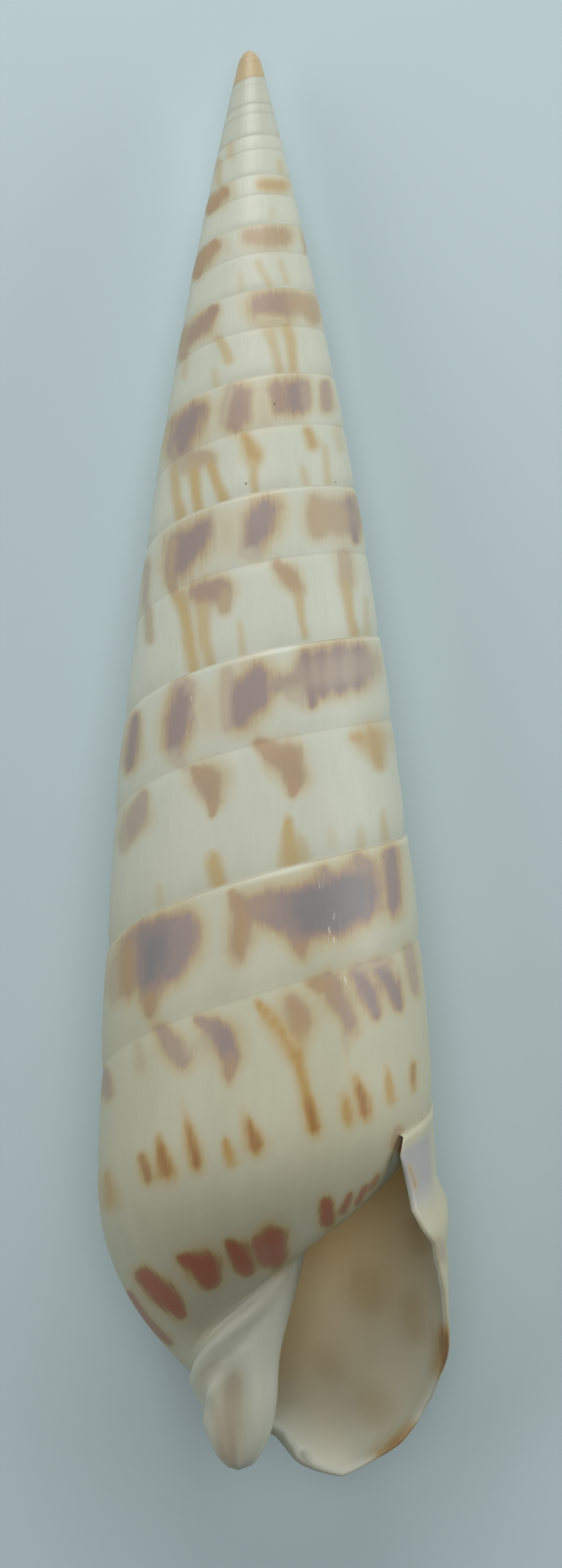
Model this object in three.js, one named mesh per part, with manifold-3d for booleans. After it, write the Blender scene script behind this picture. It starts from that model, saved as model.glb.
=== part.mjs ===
// An auger shell: a long pointed sea snail shell, lying with its opening upwards.
// Millimetres, +Z up. The point is towards +Y and the opening is on the +X side of the middle line.
//
// Places on the shell are given in turns along its spiral. Turn 0 faces straight up, turns grow from
// the point to the lip, and the shell winds to the right. A height is a distance along the winding
// axis from the point. A drop is a distance along the axis below the seam of the same turn, before
// the base is lengthened towards the lip.

import * as THREE from "three";
import { mergeVertices } from "three/addons/utils/BufferGeometryUtils.js";
import Module from "manifold-3d";

// Overall sizes
const TIP_END = 74.8; // height of the lower end of the central pillar
const OUTLINE_LENGTH = 64; // height at which the spire stops widening
const POINT_RADIUS = 0.45; // radius that the blunt point starts from
const SPIRE_GAIN = 8.05; // what the radius gains from the point to the last whorl
const OUTLINE_CURVE = 1.85; // more than 1 makes the sides bulge
const POINT_DOME = 0.8; // height over which the point rounds off
const BOW = 0.22; // how far the winding axis bows to the right
const BOW_HEIGHT = 55; // height at which it bows most
const BOW_SPREAD = 10;
const LEAST_WHORL = 1e-9;

// The seam between whorls rises with spread * e^(rate * turn) + drift * turn
const SEAM_SPREAD = 40.67;
const SEAM_RATE = 0.2943;
const SEAM_DRIFT = 0.73;
const TURN_COUNT = 11.25; // turns from the point to the lip
const LAST_TURN = 0.856; // where the seam meets the lip
const FIRST_TURN = LAST_TURN - TURN_COUNT;
const MOUTH_TURN = LAST_TURN - 1; // the meridian of the last whorl that the lip stands on

// The low relief of a whorl: a swollen band, a groove under it and a pinched seam
const BAND_SWELL = 0.12;
const GROOVE_DEPTH = 0.1;
const GROOVE_WIDTH = 0.035;
const RELIEF_STARTS = 2.5; // height above which the point is smooth
const GROOVE_PLACE = 0.378; // share of the whorl above the groove, at turn 0
const GROOVE_SLOPE = -0.0464;
const GROOVE_BEND = -0.00654;
const GROOVE_PLACE_LEAST = 0.3;

// The last whorl and its base
const BASE_DROP = 19.5; // drop of the waist, where the base meets the pillar
const BASE_STARTS_OLD = 11.5; // drop where the base starts to curve in, under the next whorl
const BASE_STARTS_NEW = 9; // the same on the last whorl
const BASE_CURVE = 3.1; // more than 1 keeps the base full before it turns in
const BASE_CHANGE_FROM = MOUTH_TURN - 0.1; // turn at which the base starts to take its last form
const BASE_CHANGE_TURNS = 0.35;
const BASE_REACH = 0.6; // how much longer the base gets there
const LIP_REACH = 2.7; // how much longer it gets again beside the notch
const LIP_REACH_FROM = 0.56;
const LIP_REACH_OVER = 0.12;
const TOP_FLARE = 0.02; // share by which the last half whorl widens below its seam
const TOP_FLARE_DROP = 1;
const LIP_FLARE = 0.095; // the same further down, past a faint shoulder
const SHOULDER_DROP = 3.2;
const SHOULDER_DEPTH = 1.6;
const FLARE_FROM = 0.25;
const FLARE_OVER = 0.5;

// The central pillar: a leaning rod with a rounded end
const PILLAR_RADIUS = 2.25;
const PILLAR_SHARE = 0.27; // its radius further up, as a share of the spire's radius
const PILLAR_LEAN = 1.4; // how far its end stands to the left of the axis
const PILLAR_LEAN_FROM = 62;
const PILLAR_LEAN_OVER = 8;
const PILLAR_ROUNDING = 4.4; // height over which its end rounds off
const BAND_RIDGE = 0.35; // the raised spiral band round the pillar, below the waist
const BAND_RIDGE_DROP = 1.1;
const BAND_RIDGE_WIDTH = 0.8;
const BAND_RIDGE_END = 0.6; // turn at which it has run out, under the lip
const BAND_RIDGE_FADE = 0.15;

// The lip's edge, as pairs of drop and turn, from the seam to the notch beside the pillar
const LIP_EDGE = [
  [0, 0.856],
  [3.4, 0.82],
  [3.8, 0.796],
  [6.8, 0.78],
  [10, 0.758],
  [13, 0.738],
  [15, 0.71],
  [17, 0.66],
  [18.3, 0.6],
  [18.9, 0.54],
  [19.5, 0.47],
];
const LIP_THICKNESS = 0.55;
const WALL_THICKNESS = 0.8;
const THINNING_TURNS = 0.2; // how far inside the lip the wall reaches its full thickness
const SEAM_WALL = 0.12; // where on the thinning curve the wall starts at the seam
const SEAM_WALL_DROP = 3; // drop over which it thickens from there
const CORNER_DROP = 2; // how far below the seam the tube's upper corner lies
const CORNER_FADE_TURNS = 0.25;
const TUBE_TURNS = 4.25; // how far the tube is hollow, from the lip inwards

// How the shell lies
const REST_PITCH = THREE.MathUtils.degToRad(4.5); // the point lies this much lower than the base
const REST_FLAT = 0.3; // depth of the worn flats that it rests on
const ROOM = 200; // a box that holds the shell every way

// Fineness
const STEPS = 28; // steps in a turn
const UPPER_ROWS = [0, 0.12, 0.5]; // rows in the swollen band
const LOWER_ROWS = [0, 0.12, 0.6, 1]; // rows from the groove to the next seam
const BASE_ROWS = [0, 0.25, 0.5, 0.72, 0.88, 1]; // rows from the last seam's level to the waist
const PILLAR_ROWS = [0, 0.1, 0.22, 0.45, 0.68, 0.86, 0.96, 1];
const COLUMELLA_ROWS = [0, 0.33, 0.67, 1]; // rows along the pillar inside the tube
const PATCH_COLUMNS = 9; // columns of the pillar's side that faces the opening

const smooth = (x) => THREE.MathUtils.smoothstep(x, 0, 1);
const mix = THREE.MathUtils.lerp;

// The seam

const seamRise = (turn) => SEAM_SPREAD * Math.exp(SEAM_RATE * turn) + SEAM_DRIFT * turn;

const seamLaw = (turn) => seamRise(turn) - seamRise(FIRST_TURN);

const seam = (turn) => Math.max(0, seamLaw(turn));

const LAST_WHORL = seam(LAST_TURN) - seam(MOUTH_TURN); // height of a full-grown whorl

// The height of a whorl. It never falls to nothing, so that shares of it can be taken at the point.
const whorl = (turn) =>
  turn < MOUTH_TURN ? Math.max(seam(turn + 1) - seam(turn), LEAST_WHORL) : LAST_WHORL;

const growth = (turn) => whorl(turn) / LAST_WHORL;

// How much longer the base is than on the older whorls
function reach(turn) {
  const base = BASE_REACH * smooth((turn - BASE_CHANGE_FROM) / BASE_CHANGE_TURNS);
  return base + LIP_REACH * smooth((turn - LIP_REACH_FROM) / LIP_REACH_OVER);
}

const heightAt = (turn, drop) => seam(turn) + drop + reach(turn) * smooth(drop / BASE_DROP);

const waist = (turn) => heightAt(turn, BASE_DROP * growth(turn));

// The share of a whorl that lies above its groove. The last whorl has stopped growing taller, but
// its groove goes on down as if it hadn't.
function grooveShare(turn) {
  const place = Math.max(
    GROOVE_PLACE + GROOVE_SLOPE * turn + GROOVE_BEND * turn * turn,
    GROOVE_PLACE_LEAST,
  );
  if (turn < MOUTH_TURN) return place;
  return (place * (seamLaw(turn + 1) - seamLaw(turn))) / whorl(turn);
}

// Radii

function spireRadius(height) {
  const left = Math.max(0, 1 - height / OUTLINE_LENGTH);
  const radius = POINT_RADIUS + SPIRE_GAIN * (1 - left ** OUTLINE_CURVE);
  const down = Math.min(1, height / POINT_DOME);
  return radius * Math.sqrt(1 - (1 - down) ** 2);
}

// How much the relief adds to the radius, at a share of the way down a whorl
function relief(turn, share, height) {
  const groove = grooveShare(turn);
  const swell = share < groove ? Math.sin((Math.PI * share) / groove) : 0;
  const cut = Math.exp(-(((share - groove) / GROOVE_WIDTH) ** 2));
  const strength = growth(turn) * smooth((height - RELIEF_STARTS) / RELIEF_STARTS);
  return strength * (BAND_SWELL * swell - GROOVE_DEPTH * cut);
}

// The pillar's centre to the left of the axis, and its radius round that centre
const pillarLean = (height) => PILLAR_LEAN * smooth((height - PILLAR_LEAN_FROM) / PILLAR_LEAN_OVER);

function pillarRadius(turn, height) {
  const down = Math.max(0, (height - (TIP_END - PILLAR_ROUNDING)) / PILLAR_ROUNDING);
  const end = Math.sqrt(Math.max(0, 1 - down ** 2));
  const below = height - waist(turn) - BAND_RIDGE_DROP;
  const ridge = BAND_RIDGE * Math.exp(-((below / BAND_RIDGE_WIDTH) ** 2));
  const started = smooth((turn - MOUTH_TURN) / BAND_RIDGE_FADE);
  const fade = started * smooth((BAND_RIDGE_END - turn) / BAND_RIDGE_FADE);
  return (Math.min(PILLAR_RADIUS, PILLAR_SHARE * spireRadius(height)) + ridge * fade) * end;
}

// Points. The shell's own frame has the winding axis along its y, pointing from the base to the
// point, and its z upwards.

function around(turn, height, radius, lean = 0) {
  const angle = 2 * Math.PI * turn;
  const bow = BOW * Math.exp(-(((height - BOW_HEIGHT) / BOW_SPREAD) ** 2));
  return new THREE.Vector3(bow - lean - radius * Math.sin(angle), -height, radius * Math.cos(angle));
}

const onPillar = (turn, height) =>
  around(turn, height, pillarRadius(turn, height), pillarLean(height));

// A point of the growth surface: the outside of the whorl, its base and the wall under the next whorl
function onWhorl(turn, drop) {
  const height = heightAt(turn, drop);
  const size = growth(turn);
  const last = smooth((turn - BASE_CHANGE_FROM) / BASE_CHANGE_TURNS);
  const from = mix(BASE_STARTS_OLD, BASE_STARTS_NEW, last) * size;
  const down = THREE.MathUtils.clamp((drop - from) / (BASE_DROP * size - from), 0, 1);
  const shoulder = smooth((drop - SHOULDER_DROP) / SHOULDER_DEPTH);
  const flare = mix(TOP_FLARE * smooth(drop / TOP_FLARE_DROP), LIP_FLARE, shoulder);
  const widening = 1 + flare * smooth((turn - FLARE_FROM) / FLARE_OVER);
  const radius = spireRadius(height) * widening + relief(turn, drop / whorl(turn), height);
  return around(turn, height, radius).lerp(onPillar(turn, height), down ** BASE_CURVE);
}

// The seam itself, taken from the whorl before it, so that the two whorls share it exactly
const onSeam = (turn) =>
  turn < FIRST_TURN ? around(turn, 0, 0) : onWhorl(turn - 1, whorl(turn - 1));

// The lip's edge

function lipTurn(drop) {
  let i = 1;
  while (i < LIP_EDGE.length - 1 && drop > LIP_EDGE[i][0]) i += 1;
  const [d0, t0] = LIP_EDGE[i - 1];
  const [d1, t1] = LIP_EDGE[i];
  return mix(t0, t1, THREE.MathUtils.clamp((drop - d0) / (d1 - d0), 0, 1));
}

// On the last turn the columns lean back so that the last one lies along the lip's edge
function leanBack(turn, drop) {
  if (turn <= MOUTH_TURN) return turn;
  return MOUTH_TURN + (turn - MOUTH_TURN) * (lipTurn(drop) - MOUTH_TURN);
}

// Rows

function whorlDrops(turn) {
  const height = whorl(turn);
  const groove = grooveShare(turn) * height;
  const upper = UPPER_ROWS.map((share) => share * groove);
  const lower = LOWER_ROWS.map((share) => mix(groove, height, share));
  return [...upper, ...lower];
}

const baseDrops = (turn, start) =>
  BASE_ROWS.map((share) => mix(start, BASE_DROP * growth(turn), share));

// How far below the seam the tube's upper corner lies. It runs out into the seam at the lip.
const cornerDrop = (turn) =>
  CORNER_DROP * growth(turn) * smooth((LAST_TURN - turn) / CORNER_FADE_TURNS);

// The outside

function outerColumn(turn) {
  const drops = whorlDrops(turn);
  const column = drops.map((drop) => onWhorl(leanBack(turn, drop), drop));
  column[0] = onSeam(turn);
  if (turn >= MOUTH_TURN - 1e-9) {
    for (const drop of baseDrops(turn, whorl(turn)).slice(1))
      column.push(onWhorl(leanBack(turn, drop), drop));
  }
  return column;
}

// The outer wall of the tube: the outside moved inwards by the wall's thickness

function insideOf(turn, drop) {
  const step = 1e-3;
  const along = onWhorl(turn + step, drop).sub(onWhorl(turn - step, drop));
  const down = onWhorl(turn, drop + step).sub(onWhorl(turn, drop - step));
  const inwards = new THREE.Vector3().crossVectors(along, down).normalize();
  const back = smooth((lipTurn(drop) - turn) / THINNING_TURNS);
  const full = mix(LIP_THICKNESS, WALL_THICKNESS, back) * growth(turn);
  const thickness = full * smooth(SEAM_WALL + drop / (SEAM_WALL_DROP * growth(turn)));
  return onWhorl(turn, drop).addScaledVector(inwards, -thickness);
}

// The lowest point of the tube, where its outer wall meets the pillar
function tubeFoot(turn) {
  const back = smooth((LIP_EDGE.at(-1)[1] - turn) / THINNING_TURNS);
  const thickness = mix(LIP_THICKNESS, WALL_THICKNESS, back);
  return onPillar(turn - 1, waist(turn) - thickness * growth(turn));
}

function tubeWallColumn(turn) {
  const corner = cornerDrop(turn);
  const end = BASE_DROP * growth(turn);
  const drops = [...whorlDrops(turn), ...baseDrops(turn, whorl(turn)).slice(1)];
  return drops.map((drop, row) => {
    const lowered = mix(corner, end, drop / end);
    const leant = leanBack(turn, lowered);
    if (row === 0) return onTubeRoof(turn, corner);
    if (row === drops.length - 1) return tubeFoot(leanBack(turn, end));
    return insideOf(leant, lowered);
  });
}

// The roof of the tube is the base of the whorl before it
const onTubeRoof = (turn, corner) => onWhorl(turn - 1, whorl(turn - 1) + corner);

// One column of the tube's roof and of the pillar inside it, from the upper corner down. Between the
// turn at its top and the turn at its foot it runs at a slant.
function tubeRoofColumn(topTurn, footTurn, foot) {
  const rows = BASE_ROWS.length + COLUMELLA_ROWS.length - 2;
  const corner = cornerDrop(topTurn);
  const column = [];
  for (let row = 0; row <= rows; row += 1) {
    const turn = mix(topTurn, footTurn, smooth(row / rows)) - 1;
    if (row < BASE_ROWS.length) {
      const start = whorl(turn) + corner;
      column.push(onWhorl(turn, mix(start, BASE_DROP * growth(turn), BASE_ROWS[row])));
    } else {
      const share = COLUMELLA_ROWS[row - BASE_ROWS.length + 1];
      column.push(onPillar(turn, mix(waist(turn), foot, share)));
    }
  }
  return column;
}

// Faces

class Surface {
  constructor() {
    this.corners = [];
  }

  triangle(a, b, c) {
    this.corners.push(a, b, c);
  }

  // A grid of columns. flip turns its faces over.
  grid(columns, flip) {
    for (let i = 1; i < columns.length; i += 1) {
      const before = columns[i - 1];
      const after = columns[i];
      for (let row = 1; row < Math.min(before.length, after.length); row += 1) {
        const [a, b, c, d] = [before[row - 1], after[row - 1], after[row], before[row]];
        if (flip) {
          this.triangle(a, c, b);
          this.triangle(a, d, c);
        } else {
          this.triangle(a, b, c);
          this.triangle(a, c, d);
        }
      }
    }
  }

  // A geometry with its shared corners joined and its empty faces left out
  geometry() {
    const loose = new THREE.BufferGeometry().setFromPoints(this.corners);
    const joined = mergeVertices(loose, 2e-4);
    const index = joined.index.array;
    const kept = [];
    for (let i = 0; i < index.length; i += 3) {
      const [a, b, c] = [index[i], index[i + 1], index[i + 2]];
      if (a !== b && b !== c && c !== a) kept.push(a, b, c);
    }
    joined.setIndex(kept);
    return joined;
  }
}

// The shell as one closed surface

function shellSurface() {
  const surface = new Surface();
  const turnAt = (step) => LAST_TURN - step / STEPS;
  const steps = Math.round((TURN_COUNT + 1) * STEPS);
  const tubeSteps = Math.round(TUBE_TURNS * STEPS);

  const outside = [];
  for (let step = steps; step >= 0; step -= 1) outside.push(outerColumn(turnAt(step)));
  surface.grid(outside, false);

  const walls = [];
  const roofs = [];
  for (let step = tubeSteps; step >= 0; step -= 1) {
    const turn = turnAt(step);
    const foot = leanBack(turn, BASE_DROP);
    walls.push(tubeWallColumn(turn));
    roofs.push(tubeRoofColumn(turn, foot, -tubeFoot(foot).y));
  }
  surface.grid(walls, true);
  surface.grid(roofs, false);

  // The closed upper end of the tube
  const ring = [...roofs[0], ...walls[0].slice(1, -1).reverse()];
  const middle = new THREE.Vector3();
  for (const corner of ring) middle.addScaledVector(corner, 1 / ring.length);
  ring.forEach((corner, i) => surface.triangle(middle, corner, ring[(i + 1) % ring.length]));

  // The edge of the lip
  surface.grid([outside.at(-1), walls.at(-1)], false);

  // The side of the base and the pillar that faces the opening
  const footTurn = LIP_EDGE.at(-1)[1];
  const patch = [roofs.at(-1)];
  for (let i = 1; i <= PATCH_COLUMNS; i += 1) {
    const share = i / PATCH_COLUMNS;
    const foot = mix(-tubeFoot(footTurn).y, waist(MOUTH_TURN), share);
    patch.push(tubeRoofColumn(LAST_TURN, mix(footTurn, LAST_TURN, share), foot));
  }
  surface.grid(patch, false);

  // The rest of the pillar, from the waist and that side down to its end
  const rim = [];
  for (let step = STEPS; step >= 0; step -= 1) {
    const turn = leanBack(turnAt(step), BASE_DROP);
    rim.push([turn, waist(turn)]);
  }
  patch.forEach((column, i) => {
    rim.push([mix(footTurn, LAST_TURN, i / PATCH_COLUMNS) - 1, -column.at(-1).y]);
  });
  const pillar = rim.map(([turn, height]) =>
    PILLAR_ROWS.map((share) => onPillar(turn, mix(height, TIP_END, share))),
  );
  surface.grid(pillar, false);
  return surface.geometry();
}

// Solids

const wasm = await Module();
wasm.setup();

function solidOf(geometry) {
  const merged = mergeVertices(geometry.clone().deleteAttribute("normal").deleteAttribute("uv"), 1e-4);
  return new wasm.Manifold(
    new wasm.Mesh({
      numProp: 3,
      vertProperties: merged.attributes.position.array,
      triVerts: new Uint32Array(merged.index.array),
    }),
  );
}

function geometryOf(solid) {
  const mesh = solid.getMesh();
  const geometry = new THREE.BufferGeometry();
  geometry.setAttribute("position", new THREE.BufferAttribute(mesh.vertProperties, 3));
  geometry.setIndex(new THREE.BufferAttribute(mesh.triVerts, 1));
  return geometry;
}

// Lays the shell on z = 0, wears the flats and puts the origin under the middle of its outline
function laidDown(geometry) {
  geometry.rotateX(-REST_PITCH);
  geometry.computeBoundingBox();
  geometry.translate(0, 0, -geometry.boundingBox.min.z - REST_FLAT);
  const room = new THREE.BoxGeometry(ROOM, ROOM, ROOM).translate(0, 0, ROOM / 2);
  const rested = geometryOf(solidOf(geometry).intersect(solidOf(room)));
  rested.computeBoundingBox();
  const centre = rested.boundingBox.getCenter(new THREE.Vector3());
  return rested.translate(-centre.x, -centre.y, 0);
}

const shell = new THREE.Mesh(
  laidDown(shellSurface()),
  new THREE.MeshStandardMaterial({ color: 0xe9e2d2, roughness: 0.35, metalness: 0 }),
);
shell.name = "shell";

const auger = new THREE.Group();
auger.add(shell);

export default auger;
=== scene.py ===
"""Looks for an auger shell: a long pointed spiral sea snail shell that lies with its opening upwards.

The shell's form is worked out in millimetres in its own frame, by the same laws as the part's source,
and is turned, set down and scaled to metres when its net is made. In its own frame x points right,
y points along the winding axis towards the point, and z points up. Turn 0 faces up, and turns grow
from the point to the lip. A drop is a distance along the axis below the seam of the same turn.
"""

import logging
import math
from dataclasses import dataclass
from enum import Enum

import bmesh
import bpy
import numpy as np
from mathutils import Matrix, Vector


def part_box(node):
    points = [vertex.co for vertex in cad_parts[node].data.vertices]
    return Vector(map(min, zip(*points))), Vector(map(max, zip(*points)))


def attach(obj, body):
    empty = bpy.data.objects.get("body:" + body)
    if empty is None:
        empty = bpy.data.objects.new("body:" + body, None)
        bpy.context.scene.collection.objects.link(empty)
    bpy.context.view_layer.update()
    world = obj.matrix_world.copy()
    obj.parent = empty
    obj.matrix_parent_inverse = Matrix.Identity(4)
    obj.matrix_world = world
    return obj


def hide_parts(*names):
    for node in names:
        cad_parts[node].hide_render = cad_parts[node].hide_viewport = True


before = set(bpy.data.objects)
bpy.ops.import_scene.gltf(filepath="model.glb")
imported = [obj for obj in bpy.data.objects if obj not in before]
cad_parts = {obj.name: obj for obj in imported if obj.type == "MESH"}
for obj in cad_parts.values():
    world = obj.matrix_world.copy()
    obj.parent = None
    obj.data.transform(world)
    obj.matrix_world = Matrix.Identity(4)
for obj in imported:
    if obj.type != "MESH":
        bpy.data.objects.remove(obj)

LOG = logging.getLogger("auger_shell")
Array = np.ndarray
Colour = tuple[float, ...]
Span = tuple[float, ...]
METRES = 0.001
TINY = 1e-9
STEP = 0.001
NODE = "shell"
# How deep a place lies in a mark: the least that is counted, the least that is kept, and the most
FAR_OUT, OUT, DEEP = -9.0, -3.0, 4.0


def smooth(x: Array) -> Array:
    """Eases from 0 at x = 0 to 1 at x = 1, and holds outside."""
    x = np.clip(x, 0.0, 1.0)
    return x * x * (3 - 2 * x)


def mix(a: Array, b: Array, share: Array) -> Array:
    """Goes from a to b by a share."""
    return a + (b - a) * share


@dataclass(frozen=True)
class Ease:
    """A rise from 0 to 1 that starts at a place and takes a length, or a fall if that is negative."""

    start: float
    over: float

    def at(self, x: Array) -> Array:
        """How far the rise has come."""
        return smooth((x - self.start) / self.over)


@dataclass(frozen=True)
class Hump:
    """A round hump with its height, its middle and its width."""

    high: float
    middle: float
    wide: float

    def at(self, x: Array) -> Array:
        """The hump's height at a place."""
        return self.high * np.exp(-(((x - self.middle) / self.wide) ** 2))


def paint(*parts: int) -> Colour:
    """Turns a screen's red, green and blue, 0 to 255 and none nearly black, into a shader's colour."""
    return (*(((part / 255 + 0.055) / 1.055) ** 2.4 for part in parts), 1.0)


@dataclass(frozen=True)
class Spiral:
    """The line of the seam, and the sizes of the whorls that it parts.

    The seam rises with spread * e^(rate * turn) + drift * turn.
    """

    spread: float = 40.67
    rate: float = 0.2943
    drift: float = 0.73
    turn_count: float = 11.25
    last: float = 0.856
    groove_place: float = 0.378
    groove_slope: float = -0.0464
    groove_bend: float = -0.00654
    groove_least: float = 0.3

    @property
    def first(self) -> float:
        """The turn of the point."""
        return self.last - self.turn_count

    @property
    def mouth(self) -> float:
        """The meridian of the last whorl that the lip stands on."""
        return self.last - 1

    def rise(self, turn: Array) -> Array:
        """The seam's height, counted from no fixed place."""
        return self.spread * np.exp(self.rate * turn) + self.drift * turn

    def law(self, turn: Array) -> Array:
        """The seam's height from the point, also where it would lie above it."""
        return self.rise(turn) - self.rise(self.first)

    def seam(self, turn: Array) -> Array:
        """The seam's height from the point."""
        return np.maximum(0.0, self.law(turn))

    @property
    def last_whorl(self) -> float:
        """The height of a full-grown whorl."""
        return float(self.seam(self.last) - self.seam(self.mouth))

    def whorl(self, turn: Array) -> Array:
        """The height of the whorl at a turn.

        Args:
            turn: The turn of the seam above it.

        Returns:
            The height from that seam to the next one.
        """
        turn = np.asarray(turn, float)
        grown = np.maximum(self.seam(turn + 1) - self.seam(turn), TINY)
        return np.where(turn < self.mouth, grown, self.last_whorl)

    def growth(self, turn: Array) -> Array:
        """The whorl's height as a share of a full-grown one."""
        return self.whorl(turn) / self.last_whorl

    def groove_share(self, turn: Array) -> Array:
        """The share of the whorl that lies above its groove.

        Args:
            turn: The turn.

        Returns:
            The share, from 0 to 1.
        """
        turn = np.asarray(turn, float)
        place = self.groove_place + self.groove_slope * turn + self.groove_bend * turn**2
        place = np.maximum(place, self.groove_least)
        past = place * (self.law(turn + 1) - self.law(turn)) / self.whorl(turn)
        return np.where(turn < self.mouth, place, past)


@dataclass(frozen=True)
class LipEdge:
    """The edge of the lip, as drops and the turns that it reaches there, from seam to notch."""

    drops: tuple[float, ...] = (
        0, 1, 2, 3, 4.5, 5.2, 6.6, 8.3, 10, 11, 12, 13, 15, 17, 18.3, 18.9, 19.5,
    )
    turns: tuple[float, ...] = (
        0.856, 0.858, 0.851, 0.842, 0.836, 0.822, 0.8, 0.782, 0.76, 0.74, 0.718, 0.706, 0.69,
        0.66, 0.605, 0.54, 0.47,
    )
    chips: tuple[tuple[float, float, float], ...] = (
        (0.0009, 2.1, 0.4), (0.00063, 5.3, 1.9), (0.000405, 11.7, 0.0),
    )
    chips_start: Ease = Ease(0.0, 1.5)
    chips_end: Ease = Ease(17.0, -3.0)
    thin: float = 0.28
    thick: float = 1.0
    thickening: Ease = Ease(16.5, 2.6)

    @property
    def foot(self) -> float:
        """The turn at which the lip meets the pillar."""
        return self.turns[-1]

    def turn(self, drop: Array) -> Array:
        """The turn that the lip reaches at a drop, along its worn and slightly chipped line.

        Args:
            drop: Drops below the seam.

        Returns:
            The turns of the edge.
        """
        wear = sum(size * np.sin(pace * drop + phase) for size, pace, phase in self.chips)
        fade = self.chips_start.at(drop) * self.chips_end.at(drop)
        return np.interp(drop, self.drops, self.turns) + wear * fade

    def thickness(self, drop: Array) -> Array:
        """The edge's thickness. It is thin along its side and thick beside the notch."""
        return mix(self.thin, self.thick, self.thickening.at(drop))


@dataclass(frozen=True)
class Pillar:
    """The leaning central pillar, with the raised spiral band round its upper end."""

    end: float = 74.8
    radius: float = 2.25
    share: float = 0.27
    lean: float = 1.4
    leaning: Ease = Ease(62.0, 8.0)
    rounding: float = 4.4
    taper: float = 0.14
    tapering: Ease = Ease(66.0, 5.0)
    ridge: Hump = Hump(0.5, 1.1, 0.62)
    ridge_fade: float = 0.15
    ridge_ending: Ease = Ease(0.6, -0.15)
    furrow: Hump = Hump(0.16, 2.15, 0.42)
    lump: Hump = Hump(0.2, 3.0, 0.5)
    lump_slope: float = 1.2
    lump_side: Ease = Ease(0.02, 0.12)
    valley: Hump = Hump(0.6, 0.025, 0.07)
    valley_start: Ease = Ease(68.6, 3.0)
    fold: Hump = Hump(0.3, -0.14, 0.07)
    fold_start: Ease = Ease(64.0, 5.0)
    dent: Hump = Hump(0.3, 71.7, 0.8)
    dent_sides: tuple[Ease, Ease] = (Ease(0.1, 0.08), Ease(0.4, -0.1))

    def shift(self, height: Array) -> Array:
        """How far the pillar's middle stands to the left of the axis."""
        return self.lean * self.leaning.at(height)

    def banding(self, turn: Array, below: Array) -> Array:
        """What the band, the furrow and the lumps under it add to the radius, some way below the waist."""
        lumps = self.lump.at(below + self.lump_slope * turn) * self.lump_side.at(turn)
        return self.ridge.at(below) - self.furrow.at(below) + lumps

    def carving(self, turn: Array, height: Array) -> Array:
        """The shallow valley along the pillar's front, and the folds beside it.

        Args:
            turn: The turn.
            height: The height from the point.

        Returns:
            Millimetres to add to the radius.
        """
        side = turn - np.round(turn)
        fold = self.fold.at(side) * self.fold_start.at(height)
        valley = self.valley.at(side) * self.valley_start.at(height)
        dent = self.dent.at(height) * self.dent_sides[0].at(side) * self.dent_sides[1].at(side)
        return fold - valley - dent


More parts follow.
